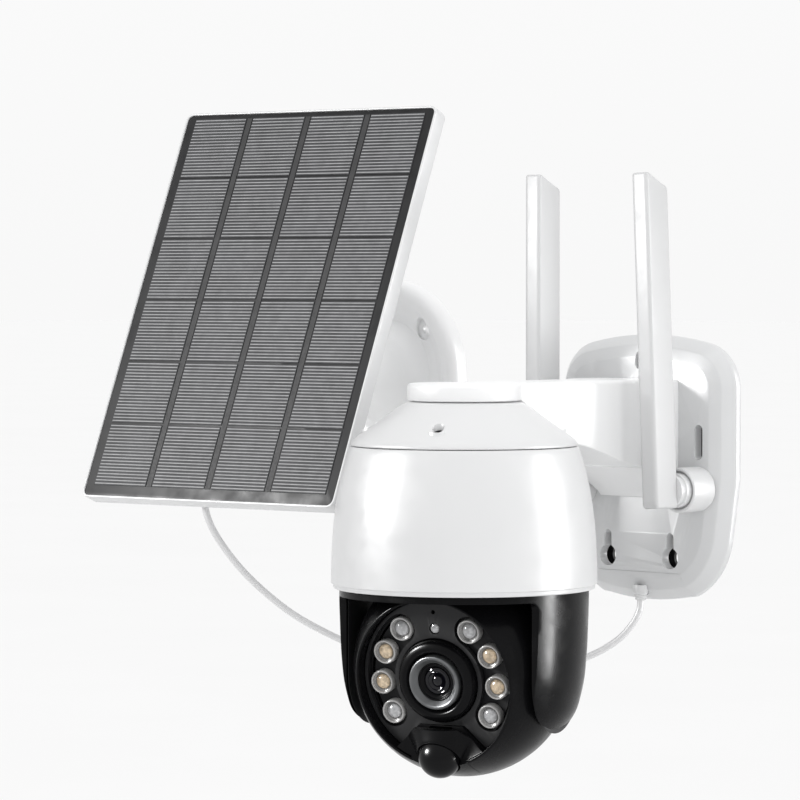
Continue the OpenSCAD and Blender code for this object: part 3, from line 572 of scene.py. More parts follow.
def arm_under(x, y):
    """Height of the arm's underside: an arch, then the cap that it stands on."""
    to_head = hypot(x, y - HEAD.translation.y)
    if y > -76:
        return 13.4 - 0.00455 * (y + 85) ** 2
    return cap_z(to_head) + (0.25 if to_head < 24.5 else 0.1)


def arm():
    """Bracket arm, from its foot on the plate to the round end that stands on the cap."""
    head_y = HEAD.translation.y
    foot, waist, back = 22, 15, -9.7
    corner = fillet([(foot, back), (foot, -34), (20.3, -34.3)], 1.4, 4)
    flare = [(23 - 8 * sin(radians(a)), -34 - 8 * (1 - cos(radians(a)))) for a in range(24, 91, 6)]
    neck = fillet([(waist, -43), (waist, head_y + 17.6), (16.4, head_y + 16.6)], 2, 4)
    end = arc(0, head_y, 23.4, 44, -90, 44)
    side = ([(foot, back - 2.2 * k) for k in range(9)] + corner[1:] + flare
            + [(waist, -43 - 3 * k) for k in range(1, 19)] + neck[1:] + end)
    outline = side + [(-x, y) for x, y in reversed(side[:-1])]
    rounding = 1.8
    turn = [radians(a) for a in (0, 15, 30, 45, 60, 75, 90)]
    rings = []
    for a in turn:
        by = rounding * (1 - sin(a))
        rings.append([(x, y, ARM_TOP - rounding * (1 - cos(a))) for x, y in inset(outline, by)])
    low = [arm_under(x, y) for x, y in outline]
    for by, up in ((0, 1.3), (0.35, 0.4), (1.2, 0)):
        rings.append([(x, y, z + up) for (x, y), z in zip(inset(outline, by), low)])
    bm = loft(rings)
    # The underside is curved, so its one large face gives way to a row of quads
    for face in [f for f in bm.faces if len(f.verts) > 4]:
        if face.calc_center_median().z < 20:
            bm.faces.remove(face)
    bm.verts.ensure_lookup_table()
    last = rings[-1]
    rim = {tuple(round(c, 3) for c in v.co): v for v in bm.verts}
    floor = [rim[tuple(round(c, 3) for c in Vector(p))] for p in last]
    count = len(floor)
    for k in range(len(side) - 1):
        quad = (floor[k], floor[k + 1], floor[count - 2 - k], floor[count - 1 - k])
        unique = list(dict.fromkeys(quad))
        if len(unique) > 2:
            bm.faces.new(unique)
    # The arm gets the lighter copy of the white plastic, which paints light on it.
    add("bracket_arm", solid(bm), Matrix(), "arm", look="white_painted_light", sharp=38)


# ---- antennas ----

SOCKET_FRONT, BLADE_BACK = 23.3, 28.7


def antenna(side, lean):
    """Socket, swivel and blade on one side; the last two are turned by lean, in degrees."""
    word = "right" if side > 0 else "left"
    fixed, turning = socket_place(side), socket_place(side, lean)
    sleeve = lathe(fillet([
        (4.05, 9.8), (9.5, 9.8), (9.5, SOCKET_FRONT), (8.2, SOCKET_FRONT),
        (7.9, SOCKET_FRONT - 1.6), (4.05, SOCKET_FRONT - 1.6),
    ], 0.5, closed=True), wrap=True)
    add(f"antenna_socket_{word}", sleeve, fixed, f"antenna_socket_{word}")
    swivel = lathe(fillet([
        (2.05, 11), (4, 11), (4, SOCKET_FRONT - 1.5), (7.3, SOCKET_FRONT - 1.5),
        (7.3, SOCKET_FRONT + 2.4), (6.4, SOCKET_FRONT + 2.6), (6.4, SOCKET_FRONT + 3.6),
        (6.9, SOCKET_FRONT + 3.8), (6.9, BLADE_BACK), (2.05, BLADE_BACK),
    ], 0.25, closed=True), wrap=True)
    add(f"antenna_swivel_{word}", swivel, turning, f"antenna_swivel_{word}")
    # Blade: x across, y up, z away from the wall; its tip slants down towards the wall
    back, front, tall, foot = BLADE_BACK, BLADE_BACK + 13.5, 134, -7.3
    section = fillet(
        [(-4.2, back), (4.2, back), (4.2, front - 0.7), (3.1, front), (-3.1, front),
         (-4.2, front - 0.7)],
        [0.5, 0.5, 1.1, 1.1, 1.1, 1.1], 5, closed=True)

    def tip(z):
        """Height of the slanted end at distance z from the wall."""
        return tall - 6.4 * (1 - min(1, max(0, (z - back) / (front - 3 - back))))

    def toe(z):
        """Height of the foot, rounded up at its front."""
        past = max(0, z - (front - 2.5))
        return foot + 2.5 - sqrt(max(0, 2.5 ** 2 - past ** 2))

    rings = []
    for by, up in ((1.0, 0), (0.3, 0.25), (0, 1.0)):
        rings.append([(x, toe(z) + up, z) for x, z in inset(section, by)])
    rings.append([(x, tall * 0.5, z) for x, z in section])
    for by, down in ((0, 1.0), (0.3, 0.25), (1.0, 0)):
        rings.append([(x, tip(z) - down, z) for x, z in inset(section, by)])
    # The blades get the darker copy of the white plastic, which paints shade on them.
    add(f"antenna_blade_{word}", loft(rings), turning, f"antenna_blade_{word}",
        look="antenna_white_painted_shade", sharp=50)


# ---- dome ----

RIM_Z, SEAM_Z, SHELL_R, WALL_T = -45.5, 13, 54.7, 2.3
BELL_FOOT, BELL_TALL, BELL_POWER = -47, 94, 2.5
CAP_SCREWS = [radians(angle - 90) for angle in (27, 134, 207, 314)]
CAP_SCREW_R = 37.5


def dome_r(z, largest=SHELL_R):
    """Radius of the bell at height z, by a superellipse."""
    return largest * (1 - ((z - BELL_FOOT) / BELL_TALL) ** BELL_POWER) ** (1 / BELL_POWER)


def dome_shell():
    """White bell with the posts that take the cap's screws, and the button on its rear."""
    steps = 26
    levels = [RIM_Z + 2.2 + (SEAM_Z - 0.75 - RIM_Z - 2.2) * i / steps for i in range(steps + 1)]
    outer = [(dome_r(z), z) for z in reversed(levels)]
    lip = fillet([outer[-1], (SHELL_R - 0.9, RIM_Z + 1.9), (SHELL_R - 0.9, RIM_Z),
                  (SHELL_R - WALL_T, RIM_Z)], [0, 0.3, 0.7, 0], 4)
    inner = [(dome_r(z, SHELL_R - WALL_T), z) for z in levels]
    top = SEAM_Z - 0.3
    crown = fillet([(inner[-1][0] - 0.2, top), (dome_r(top) - 0.15, top), outer[0]], 0.5, 4)
    shell = solid(lathe(crown[:-1] + outer + lip[1:] + inner, 192, wrap=True))
    hole = placed(lathe([(4.05, 40), (4.05, 60)], 48), moved(0, 0, -4) @ turned(-90, "X"))
    combine(shell, "DIFFERENCE", hole)
    posts = [placed(lathe(fillet([(1.5, -12), (4, -12), (4, 12.2), (1.5, 12.2)], 0.3, closed=True),
                          32, wrap=True),
                    moved(CAP_SCREW_R * cos(a), CAP_SCREW_R * sin(a), 0)) for a in CAP_SCREWS]
    add("dome", shell, HEAD, "dome_shell", sharp=30)
    add("dome_posts", merged(*posts), HEAD, body="mount", slot="white_shell")
    button = lathe(fillet([(0, 46.8), (5.2, 46.8), (5.2, 48.4), (4, 48.4), (4, 52.9), (2.6, 52.5),
                           (0, 52.4)], [0, 0.2, 0.2, 0.1, 0.6, 0.8, 0]), 64)
    add("power_button", button, HEAD @ moved(0, 0, -4) @ turned(-90, "X"), "power_button")


def dome_cap():
    """Shallow cone that closes the bell, with four screw recesses."""
    profile = fillet(
        [(8, 31), (23.8, 31), (36.9, 21.8), (45.1, 15.9), (46.55, 14), (46.55, 13), (44.3, 13),
         (44.3, 14), (36, 19.7), (23, 28.7), (8, 28.7)],
        [0.1, 2.4, 10, 2.4, 0.8, 0.5, 0.1, 0.2, 1, 1, 0.1], 8, closed=True)
    cap = solid(lathe(profile, 192, wrap=True))
    at = [(CAP_SCREW_R * cos(a), CAP_SCREW_R * sin(a)) for a in CAP_SCREWS]
    combine(cap, "UNION", merged(*[pillar(x, y, 4.4, 13, 19.6, 48) for x, y in at]))
    holes = [placed(lathe([(1.7, 10), (1.7, 17), (2.5, 17.01), (2.5, 40)], 48), moved(x, y, 0))
             for x, y in at]
    combine(cap, "DIFFERENCE", merged(*holes))
    rounded_edges(cap, 0.3, 50)
    add("dome_cap", cap, HEAD, "dome_cap", sharp=30)


# ---- head: yoke and ball ----

YOKE_R, EAR_HALF, EAR_IN, BALL_R, BALL_HALF = 51.3, 24, 42, 45.5, 41.3


def yoke():
    """Black skirt that pans, cut back to two ears that hold the ball."""
    profile = fillet(
        [(0, -27), (49.6, -27), (51.3, -30), (51.3, -50), (50.9, -62), (50.5, -72), (49.4, -84),
         (46.6, -95), (43.4, -100.5), (38, -106), (0, -106)],
        [0, 1, 1.2, 4, 5, 5, 5, 3, 3, 0.5, 0], 4)
    body = solid(lathe(profile, 192))
    bottom, window = -81, -48.5
    ear = arc(0, bottom, EAR_HALF, 180, 360, 48)
    corner = 3.5
    edge = YOKE_R + 10
    side_view = (
        ear + arc(EAR_HALF + corner, window - corner, corner, 180, 90, 8)
        + [(edge, window), (edge, -20), (-edge, -20), (-edge, window)]
        + arc(-EAR_HALF - corner, window - corner, corner, 90, 0, 8)
    )
    keep = loft([[(x, y, z) for y, z in side_view] for x in (-60, 60)])
    combine(body, "INTERSECT", keep)
    inside = solid(lathe([(YOKE_R - 2.3, -115), (YOKE_R - 2.3, -30)], 192))
    combine(inside, "INTERSECT", block(-EAR_IN, EAR_IN, -60, 60, -114, -29, 0.2))
    combine(body, "DIFFERENCE", inside)
    rounded_edges(body, 0.7, 42, 3)
    add("yoke", body, PAN, "yoke", sharp=45)
    trim = []
    for s in (-1, 1):
        outline = arc(0, bottom, EAR_HALF - 1.6, 180, 360, 40) + [
            (EAR_HALF - 1.6, -47), (-EAR_HALF + 1.6, -47)]
        trim.append(placed(stack([(y * s, z) for y, z in outline], rounded_levels(0, 0.5, 0.2)),
                           Matrix(((0, 0, -s, s * (EAR_IN + 0.2)), (s, 0, 0, 0), (0, 1, 0, 0),
                                   (0, 0, 0, 1)))))
    add("yoke_ear_liners", merged(*trim), PAN, body="head_yoke", slot="black_gloss",
        look="face_grey")


def sensor_prism(grow, low=-20, high=60):
    """Room of the motion sensor: a notch that widens downwards from the lens."""
    outline = [(-9.9 - grow, -18.7 + grow * 0.6), (9.9 + grow, -18.7 + grow * 0.6),
               (38 + grow, -46), (38 + grow, -60), (-38 - grow, -60), (-38 - grow, -46)]
    return loft([[(x, y, z) for x, y in outline] for z in (low, high)])


RIM_D, FACE_D, LAMP_RING, MICROPHONE_UP, LIGHT_SENSOR_UP = 29.1, 24, 25.9, 28.6, 21.6
SENSOR_AT, SENSOR_DOWN = (0, -30.8, 27.7), 35
SENSOR = FACE @ moved(*SENSOR_AT) @ turned(SENSOR_DOWN, "X")


def on_sphere(r, start, end, steps):
    """Profile points on the ball, by angle up from its middle plane."""
    return [(r * cos(radians(a)), r * sin(radians(a)))
            for a in (start + (end - start) * i / steps for i in range(steps + 1))]


def domed(r, rise, foot=0, start=0, step=9):
    """Profile of a dome: an ellipse, from an angle in degrees up to the axis."""
    sides = [(r * cos(radians(a)), foot + rise * sin(radians(a))) for a in range(start, 90, step)]
    return sides + [(0, foot + rise)]


def ball_angle(depth):
    """Angle up from the ball's middle plane at which its surface reaches a depth."""
    return degrees(atan2(depth, sqrt(BALL_R ** 2 - depth ** 2)))


def trimmed(obj, half):
    """Flattens the ball's two sides where it turns between the yoke's ears."""
    for vertex in obj.data.vertices:
        vertex.co.x = max(-half, min(half, vertex.co.x))
    return obj


def ball():
    """Front and rear shells of the camera ball."""
    seam = 0.25
    outer = on_sphere(BALL_R, 0.5, ball_angle(RIM_D), 22)
    rim_r = outer[-1][0]
    front = fillet(
        [outer[-2], outer[-1], (rim_r - 0.9, RIM_D), (33.9, FACE_D + 0.6), (33.8, FACE_D - 2.4),
         (31.1, FACE_D - 2.4), (31.1, FACE_D - 5), (38.5, FACE_D - 5)],
        [0, 0.5, 0.5, 0.5, 0.1, 0.1, 0.1, 0], 4)
    inner = on_sphere(BALL_R - 2.6, 26, 0.3, 14)
    shell = trimmed(solid(lathe(outer[:-1] + front[1:] + inner, 192, wrap=True)), BALL_HALF)
    notch = solid(sensor_prism(0))
    combine(notch, "INTERSECT", block(-13, 13, -60, -17, FACE_D - 6, 60, 0.1))
    combine(shell, "DIFFERENCE", notch)
    add("ball_front", shell, FACE, "ball_front", sharp=28)

    back = on_sphere(BALL_R, -90, -seam, 40)
    hollow = on_sphere(BALL_R - 2.6, -seam, -90, 30)
    rear = trimmed(solid(lathe(back + hollow, 192)), BALL_HALF)
    screws = [pillar(x, y, 2.9, -60, -12, 32) for x in (-29, 29) for y in (-27, 27)]
    combine(rear, "DIFFERENCE", merged(*screws))
    add("ball_rear", rear, FACE, "ball_rear", sharp=28)


def lamp_window(side):
    """One kidney-shaped opening around four lamps, on the side given by its sign."""
    first, last, half = 54, -33, 6.3

    def end(at, start, stop):
        """Half circle that closes the window at an angle on the lamps' ring."""
        x, y = LAMP_RING * cos(radians(at)), LAMP_RING * sin(radians(at))
        return arc(x, y, half, start, stop, 16)[1:-1]

    outline = (arc(0, 0, LAMP_RING + half, first, last, 40) + end(last, last, last - 180)
               + arc(0, 0, LAMP_RING - half, last, first, 30) + end(first, first + 180, first))
    return loft([[(x * side, y, z) for x, y in outline] for z in (FACE_D - 4, FACE_D + 3)])


def face_plate():
    """Ring around the lens, with lamp windows and holes for microphone and light sensor."""
    disc = solid(lathe(fillet([(17.6, FACE_D - 2.4), (33.6, FACE_D - 2.4), (33.6, FACE_D),
                               (17.6, FACE_D)], 0.35, closed=True), 160, wrap=True))
    holes = merged(pillar(0, MICROPHONE_UP, 0.9, 18, 28, 24),
                   pillar(0, LIGHT_SENSOR_UP, 2.3, 18, 28, 32))
    combine(disc, "DIFFERENCE", lamp_window(1), lamp_window(-1), sensor_prism(0.25), holes)
    rounded_edges(disc, 0.25, 50)
    add("face_plate", disc, FACE, "face_plate", sharp=40)


# Lamp angles clockwise from the top: four infrared, four warm white
LAMPS = {"infrared_lamps": ("lamp_clear", (-123, -36, 36, 123)),
         "warm_lamps": ("lamp_warm", (-94, -65, 65, 94))}


def lamps():
    """Each lamp is a rim, a bowl and a clear or warm dome."""
    rim = fillet([(4.1, 0), (5, 0), (5, 3.3), (4.7, 3.9), (4.25, 3.9), (4.1, 3.2)], 0.25,
                 closed=True)
    bowl = fillet([(2.9, 0), (4.1, 0), (4.1, 3.2), (2.9, 2.2)], 0.15, closed=True)
    dome = [(3.1, 0.2)] + domed(3.1, 1.9, 2.0)
    for node, (look, angles) in LAMPS.items():
        spots = [turned(-a, "Z") @ moved(0, LAMP_RING, FACE_D - 3.4) for a in angles]
        for piece, paint in ((rim, "lamp_rim"), (bowl, "lamp_bowl")):
            rings = merged(*[placed(lathe(piece, 48, wrap=True), spot) for spot in spots])
            add(f"{node}_{paint[5:]}s", rings, FACE, body=body_of[node], slot=slot_of[node],
                look=paint)
        domes = merged(*[placed(lathe(dome, 48), spot) for spot in spots])
        add(f"{node}_domes", domes, FACE, node, look=look)


def lens():
    """Bezel, metal ring, black cone and stepped glass."""
    bezel = solid(lathe(fillet(
        [(8, 20.6), (18.4, 20.6), (18.4, 21.6), (17.2, 21.6), (17.2, 25.4), (16.4, 27.3),
         (13.9, 28.2), (12.6, 27.7), (11.6, 25.5), (11.6, 22), (8, 22)],
        [0.1, 0.1, 0.1, 0.1, 0.8, 1.4, 1, 1.2, 0.8, 0.1, 0.1], 6, closed=True), 160, wrap=True))
    combine(bezel, "DIFFERENCE", sensor_prism(0.25))
    add("lens_bezel", bezel, FACE, "lens_bezel", sharp=40)
    ring = lathe(fillet(
        [(8, 22), (11.3, 22), (11.3, 27.9), (10.9, 28.6), (9.9, 28.6), (8, 26.6)],
        [0.1, 0.1, 0.4, 0.4, 0.5, 0.2], 5, closed=True), 128, wrap=True)
    add("lens_ring", ring, FACE, "lens_ring", sharp=30)
    cone = lathe(fillet(
        [(5.6, 22), (8, 22), (8, 26.4), (7.5, 26.4), (7.1, 25.8), (6.6, 25.8), (5.6, 24.8)],
        0.15, 3, closed=True), 128, wrap=True)
    add("lens_cone", cone, FACE, body="camera_ball", slot="black_gloss")
    steps = [(5.5, 22), (5.5, 25.2), (5.1, 25.4), (4.6, 25), (4.2, 25), (3.9, 25.2), (3.5, 24.7)]
    glass = lathe(steps + domed(2.6, 1.7, 24.4), 96)
    add("lens_glass", glass, FACE, "lens_glass", sharp=40)


def motion_sensor():
    """Mound below the lens with its collar and dome, and the light sensor above the lens."""
    skin = on_sphere(BALL_R, ball_angle(FACE_D - 5.8), ball_angle(RIM_D), 10)
    dish = [(33.6, RIM_D - 0.9), (25, FACE_D + 2.3), (17.5, FACE_D + 0.5), (17.5, FACE_D - 5.8)]
    housing = solid(lathe(skin + dish, 192, wrap=True))
    mound = lathe(fillet([(0, -6), (16.5, -6), (14.4, -4.2), (11.8, -1.4), (10.1, 0.6), (9.6, 1),
                          (0, 1)], [0, 0.1, 2, 3, 0.6, 0.3, 0], 5), 128)
    room = solid(block(-12.8, 12.8, -60, 0, FACE_D - 5.8, FACE_D + 24, 0.1))
    combine(room, "UNION", lathe([(33.7, FACE_D - 2.35), (33.7, FACE_D + 24)], 160))
    combine(housing, "UNION", placed(mound, moved(*SENSOR_AT) @ turned(SENSOR_DOWN, "X")))
    combine(housing, "INTERSECT", room, sensor_prism(0))
    collar = lathe(fillet([(7.2, -5), (9.9, -5), (9.9, 0.6), (9.5, 1.2), (9.1, 0.6), (9, 0),
                           (7.4, -4)], [0.1, 0.1, 0.4, 0.3, 0.1, 0.2, 0.1], closed=True), 96,
                   wrap=True)
    hollow = placed(lathe([(9.4, -9), (9.4, 30)], 96), moved(*SENSOR_AT) @ turned(SENSOR_DOWN, "X"))
    lens_room = lathe([(17.5, FACE_D - 6), (17.5, 60)], 128)
    combine(housing, "DIFFERENCE", hollow, lens_room)
    add("motion_sensor_housing", housing, FACE, "motion_sensor_housing", sharp=30)
    add("motion_sensor_collar", collar, SENSOR, body="camera_ball", slot="black_gloss")
    eye = lathe([(7, -4)] + domed(9, 9, start=-26, step=4), 96)
    add("motion_sensor_eye", eye, SENSOR, "motion_sensor_dome")
    dot = lathe([(2, 0)] + domed(2, 1, 2.6, step=15), 48)
    add("light_sensor", dot, FACE @ moved(0, LIGHT_SENSOR_UP, FACE_D - 3.4), "light_sensor")


# ---- solar panel ----

PANEL_W, PANEL_H, PANEL_T, FACE_AT, LIP, BORDER = 144, 187, 7.5, 30, 2, 4
COLUMNS, ROWS, COLUMN_GAP, ROW_GAP, LINES = 4, 6, 3.8, 0.9, 19
# The border above the cells is narrower than the one below by twice this
ROW_RISE = 1.4
STRIP_HALF, LINE_HALF = 1.45, 0.25
# Junction box on the panel's back: its left, right, low and high sides, and its depth
BOX_SIDES, BOX_DEEP = (-32, 8, -76, -46), 9
BACK_AT = FACE_AT - PANEL_T
CELL_W = (PANEL_W - 2 * LIP - 2 * BORDER - (COLUMNS - 1) * COLUMN_GAP) / COLUMNS
CELL_H = (PANEL_H - 2 * LIP - 2 * BORDER - (ROWS - 1) * ROW_GAP) / ROWS


def box_sides(grow):
    """Sides of the junction box, moved outwards."""
    left, right, low, high = BOX_SIDES
    return left - grow, right + grow, low - grow, high + grow


def panel_frame():
    """White frame, and the back cover with its recess and screws."""
    outline = rounded_rectangle(PANEL_W, PANEL_H, 4, 10)
    section = fillet(
        [(0, BACK_AT), (0, FACE_AT), (1, FACE_AT), (1, FACE_AT - 2.9), (2, FACE_AT - 3.1),
         (2, BACK_AT + 4.4), (2.5, BACK_AT + 4.4), (2.5, BACK_AT)],
        [0.7, 0.6, 0.25, 0.1, 0.1, 0.1, 0.1, 0.3], 4, closed=True)
    frame_ring = loft([[(x, y, z) for x, y in inset(outline, by)] for by, z in section], wrap=True)
    add("panel_frame", frame_ring, PANEL, "panel_frame", sharp=40)
    back = solid(stack(rounded_rectangle(PANEL_W - 5.1, PANEL_H - 5.1, 2, 6),
                       rounded_levels(BACK_AT, BACK_AT + 2, 0.3)))
    recess = stack(rounded_rectangle(PANEL_W - 17, PANEL_H - 17, 3, 6),
                   [(0, BACK_AT - 1), (0, BACK_AT + 0.35), (0.4, BACK_AT + 0.7)])
    keep = [block(*box_sides(1), BACK_AT - 2, BACK_AT + 1, 0.3), pillar(0, 0, 23, 20, 23.4)]
    groove = solid(recess)
    combine(groove, "DIFFERENCE", *keep)
    combine(back, "DIFFERENCE", groove)
    add("panel_back", back, PANEL, "panel_back", sharp=30)
    heads = []
    for x, y in [(sx * (PANEL_W / 2 - 5.5), sy * PANEL_H * 0.455) for sx in (-1, 1)
                 for sy in (-1, 0, 1)]:
        heads.append(placed(lathe(fillet([(0, 0.5), (0.8, 0.45), (1, -0.2), (2.2, -0.2), (2.4, 0.4),
                                          (2.4, 0.7), (0, 0.7)], 0.2), 24),
                            moved(x, y, BACK_AT - 0.15)))
    add("panel_screws", merged(*heads), PANEL, body="panel", slot="steel")


def solar_cells():
    """Laminate, cells with their grid lines, and the strips between the columns."""
    sheet = stack(rounded_rectangle(PANEL_W - 2.1, PANEL_H - 2.1, 2, 6),
                  rounded_levels(FACE_AT - 2.8, FACE_AT - 0.6, 0.2))
    add("panel_laminate", sheet, PANEL, "solar_substrate")
    cells, lines, strips = [], [], []
    tall = CELL_H + 2 * ROW_RISE / ROWS
    for i in range(COLUMNS):
        x = (i - (COLUMNS - 1) / 2) * (CELL_W + COLUMN_GAP)
        for j in range(ROWS):
            y = (j - (ROWS - 1) / 2) * (tall + ROW_GAP) + ROW_RISE
            cells.append(block(x - CELL_W / 2, x + CELL_W / 2, y - tall / 2, y + tall / 2,
                               FACE_AT - 0.7, FACE_AT - 0.3, 0.08))
            for k in range(LINES):
                at = y - tall / 2 + tall * (k + 0.5) / LINES
                lines.append(block(x - CELL_W / 2 + 0.3, x + CELL_W / 2 - 0.3, at - LINE_HALF,
                                   at + LINE_HALF, FACE_AT - 0.36, FACE_AT - 0.24, 0.02))
    for i in range(COLUMNS - 1):
        x = (i - (COLUMNS - 2) / 2) * (CELL_W + COLUMN_GAP)
        strips.append(block(x - STRIP_HALF, x + STRIP_HALF, -PANEL_H / 2 + LIP + BORDER,
                            PANEL_H / 2 - LIP - BORDER + 2 * ROW_RISE,
                            FACE_AT - 0.66, FACE_AT - 0.4, 0.08))
    add("solar_cells", merged(*cells), PANEL, "solar_cells", sharp=8)
    add("solar_cell_lines", merged(*lines), PANEL, body="panel", slot="solar_cell",
        look="solar_line", sharp=8)
    add("solar_ribbons", merged(*strips), PANEL, body="panel", slot="solar_back",
        look="solar_gap", sharp=8)


def panel_fittings():
    """Junction box, and the glands at both ends of the cable."""
    box = solid(block(*box_sides(0), BACK_AT - BOX_DEEP, BACK_AT, 1))
    lid = block(*box_sides(-2.5), BACK_AT - BOX_DEEP - 1, BACK_AT - BOX_DEEP + 0.4, 0.5)
    combine(box, "DIFFERENCE", lid)
    add("junction_box", box, PANEL, "junction_box", sharp=5)
    steps = [(1.7, 0), (3.6, 0), (3.6, 4)]
    for k in range(4):
        r = 3.5 - 0.32 * k
        steps += [(r, 4.1 + k), (r, 4.7 + k), (r - 0.45, 4.8 + k), (r - 0.45, 5.0 + k)]
    steps += [(2.1, 8.35), (1.5, 8.4)]
    gland = lathe(fillet(steps, 0.15, 2, closed=True), 48, wrap=True)
    left, right, low, _ = BOX_SIDES
    exit_at = moved((left + right) / 2, low, BACK_AT - BOX_DEEP / 2)
    add("panel_gland", gland, PANEL @ exit_at @ turned(90, "X"), "panel_gland")
    relief = [(1.55, -57), (2.3, -57), (2.5, -56.4), (2.3, -56), (2.7, -55.6), (2.9, -55),
              (2.6, -54.7), (3.4, -53.8), (3.4, -50.5), (1.55, -50.5)]
    add("plate_gland", lathe(fillet(relief, 0.12, 2, closed=True), 48, wrap=True),
        moved(0, -8.5, 0), "plate_gland")


NECK_R, SOCKET_R, CLAMP_R, JOINT_R = 13.5, 12.3, 16, 12
BASE_HOLES = [moved(32 * cos(radians(a)), 32 * sin(radians(a)), 0) for a in (45, 135, 225, 315)]
BASE_HOLE_R, BASE_SINK_R, BASE_SINK_AT = 2.5, 5.2, 3.01


def circle_about(centre, normal, r, count=96):
    """Points on a circle about a centre, in the plane square to a normal."""
    across = Vector((1, 0, 0))
    across = (across - normal * across.dot(normal)).normalized()
    up = normal.cross(across)
    return [centre + r * (cos(2 * pi * k / count) * across + sin(2 * pi * k / count) * up)
            for k in range(count)]


def neck_flare():
    """Foot of the neck: rings that turn from the wall's direction to the neck's."""
    foot, neck_end, steps = 3.6, NECK_LEN - 17.5, 20
    wall_way = Vector((0, 0, 1))
    neck_z = ((BASE.inverted() @ NECK).to_3x3() @ wall_way).normalized()
    rings = []
    for i in range(steps + 1):
        t = i / steps
        ease = t * t * (3 - 2 * t)
        distance = foot + (neck_end - foot) * 0.45 * t
        centre = neck_z * distance / max(0.5, neck_z.z) * (1 - ease) + neck_z * distance * ease
        rings.append(circle_about(centre, wall_way.lerp(neck_z, ease).normalized(),
                                  NECK_R + 13 * (1 - t) ** 3.2))
    for along in (neck_end * 0.7, neck_end):
        rings.append(circle_about(neck_z * along, neck_z, NECK_R))
    return solid(loft(rings))


def panel_base():
    """Round wall base and the foot of its neck, with four counterbored screw holes."""
    profile = fillet(
        [(0, 0), (45, 0), (45, 5.5), (44.1, 7.8), (42.4, 9.2), (40, 9.6), (37.4, 9), (34.5, 7),
         (31, 5), (27, 4.4), (24, 4.7), (0, 4.7)],
        [0, 0.5, 2, 1.2, 1.2, 1.2, 1.2, 1.6, 1.8, 1.6, 0, 0], 5)
    base = solid(lathe(profile, 160))
    flare = neck_flare()
    sink = [(BASE_SINK_R, BASE_SINK_AT), (BASE_SINK_R, 20)]
    bore = [(BASE_HOLE_R, -1), (BASE_HOLE_R, 3)] + sink
    combine(base, "DIFFERENCE", merged(*[placed(lathe(bore, 48), at) for at in BASE_HOLES]))
    combine(flare, "DIFFERENCE", merged(*[placed(lathe(sink, 48), at) for at in BASE_HOLES]))
    rounded_edges(base, 0.3, 55)
    # Base and neck flare get the lighter copy of the white plastic: painted light where the panel shades them.
    add("panel_base", base, BASE, "panel_base", look="white_painted_light", sharp=40)
    add("panel_neck_flare", flare, BASE, body="mount", slot="white_shell", look="white_painted_light",
        sharp=40)


def panel_joint():
    """Socket at the neck's end, its clamp ring, the slotted ball and the panel's stud."""
    head = NECK_LEN - 12
    socket_wall = [(SOCKET_R * cos(radians(a)), NECK_LEN + SOCKET_R * sin(radians(a)))
                   for a in range(-90, -9, 8)]
    cup = lathe(fillet(
        [(0, head - 8), (NECK_R, head - 8), (NECK_R, head - 6), (CLAMP_R, head - 2),
         (CLAMP_R, NECK_LEN - 2.05), (SOCKET_R, NECK_LEN - 2.05)],
        [0, 0.1, 2, 1.2, 0.5, 0]) + list(reversed(socket_wall[:-1])), 96)
    # The neck gets the lighter copy of the white plastic too: painted light.
    add("panel_neck", cup, NECK, "panel_neck", look="white_painted_light", sharp=40)
    ring = lathe(fillet(
        [(SOCKET_R, NECK_LEN - 1.9), (CLAMP_R, NECK_LEN - 1.9), (CLAMP_R, NECK_LEN + 3),
         (14, NECK_LEN + 5), (12.9, NECK_LEN + 5), (11.8, NECK_LEN + 2.6), (12.25, NECK_LEN)],
        [0.1, 0.4, 0.8, 0.5, 0.3, 0.2, 0.1], closed=True), 96, wrap=True)
    add("clamp_ring", ring, NECK, "clamp_ring", sharp=40)
    ball_shape = solid(lathe(on_sphere(JOINT_R, -90, 90, 32), 64))
    slot_end = placed(lathe([(9, -3.1), (9, 3.1)], 64), turned(90, "Y"))
    combine(ball_shape, "DIFFERENCE", block(-3.1, 3.1, -20, 0, -11, 11, 0.2), slot_end)
    add("swivel_ball", ball_shape, JOINT, "swivel_ball", sharp=35)
    eye = placed(lathe(fillet([(1.55, -3), (7.5, -3), (7.5, 3), (1.55, 3)], 0.4, closed=True), 64,
                       wrap=True), turned(90, "Y"))
    stem = lathe(fillet([(0, 6.8), (3, 6.8), (3, 11.4), (4.5, 11.6), (4.5, BACK_AT - 6),
                         (9, BACK_AT - 3), (20, BACK_AT - 3), (20, BACK_AT), (0, BACK_AT)],
                        [0, 0.2, 0.3, 0.3, 2, 2, 0.8, 0.3, 0], 5), 96)
    add("ball_stud", merged(eye, stem), PANEL, "ball_stud", sharp=40)


antenna(1, RIGHT_LEAN)
antenna(-1, 0)
for make in (wall_plate, arm, dome_shell, dome_cap, yoke, ball, face_plate, lamps, lens,
             motion_sensor, panel_frame, solar_cells, panel_fittings, panel_base, panel_joint):
    make()


# ---- carried-over pieces keep the CAD shape and get their material ----

for name, obj in frame["nodes"].items():
    for material_slot in obj.material_slots:
        material_slot.material = MATERIALS[slot_of[name]]


# ---- floor, light and the end ----


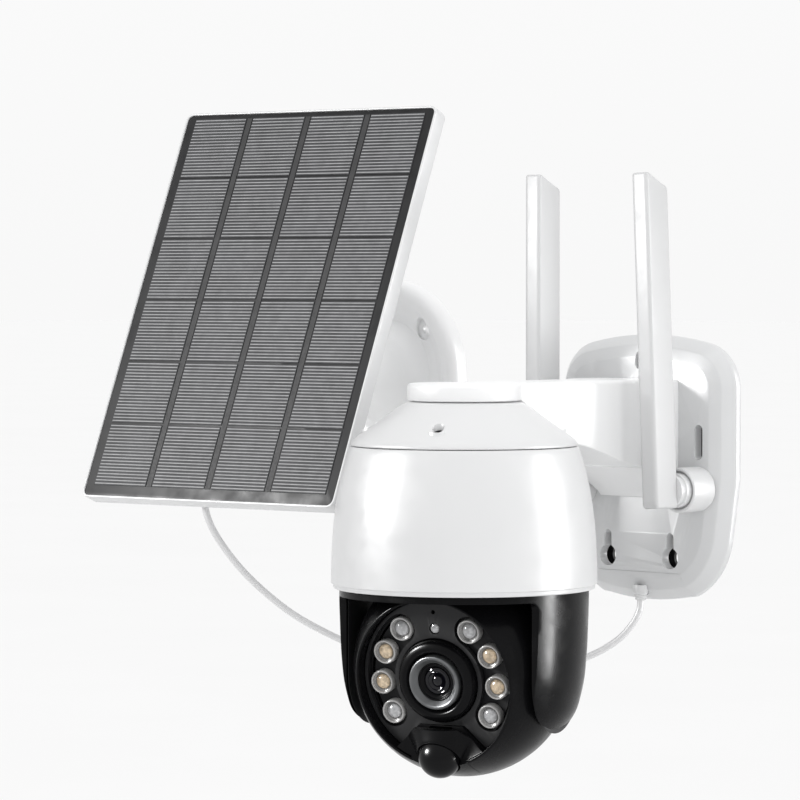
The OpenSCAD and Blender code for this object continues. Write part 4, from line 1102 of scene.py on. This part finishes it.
FLOOR_Z, FLOOR_HALF = -0.5, 40
HORIZON, ZENITH = 0.94, 1.14


def studio():
    """Wide pale floor, half a metre below the plate's centre, and even white surroundings."""
    corners = [(x * FLOOR_HALF, y * FLOOR_HALF) for x, y in ((-1, -1), (1, -1), (1, 1), (-1, 1))]
    floor = solid(loft([[(x, y, z) for x, y in corners] for z in (FLOOR_Z - 0.04, FLOOR_Z)]),
                  "floor")
    floor.data.materials.append(MATERIALS["floor"])
    SCENE.view_settings.view_transform = "Standard"
    SCENE.world = bpy.data.worlds.new("studio")
    SCENE.world.use_nodes = True
    tree = SCENE.world.node_tree
    background = tree.nodes["Background"]
    background.inputs["Color"].default_value = (1, 1, 1, 1)
    split = tree.nodes.new("ShaderNodeSeparateXYZ")
    tree.links.new(tree.nodes.new("ShaderNodeTexCoord").outputs["Generated"], split.inputs[0])
    sky = tree.nodes.new("ShaderNodeMapRange")
    sky.inputs["To Min"].default_value = HORIZON
    sky.inputs["To Max"].default_value = ZENITH
    tree.links.new(split.outputs["Z"], sky.inputs["Value"])
    tree.links.new(sky.outputs["Result"], background.inputs["Strength"])


def softbox(name, at, size, power, diffuse=True, glossy=True, target=(-0.06, -0.08, 0.03)):
    """Soft rectangular light; it can be kept out of the shading or out of the highlights."""
    lamp = bpy.data.lights.new(name, "AREA")
    lamp.shape, lamp.size, lamp.size_y = "RECTANGLE", size[0], size[1]
    lamp.energy = power
    obj = bpy.data.objects.new(name, lamp)
    obj.visible_diffuse, obj.visible_glossy = diffuse, glossy
    SCENE.collection.objects.link(obj)
    obj.location = at
    obj.rotation_euler = (Vector(target) - Vector(at)).to_track_quat("-Z", "Y").to_euler()


studio()
softbox("key_right", (1.5, -0.35, 0.4), (0.3, 1.2), 4, glossy=False)
softbox("rim_right", (1.25, 0.85, 0.12), (0.3, 1.1), 90, diffuse=False)
softbox("spark_left", (-0.95, -1.35, 0.45), (0.34, 0.34), 130, diffuse=False)
softbox("top", (0.1, -0.4, 1.5), (0.8, 0.6), 3)
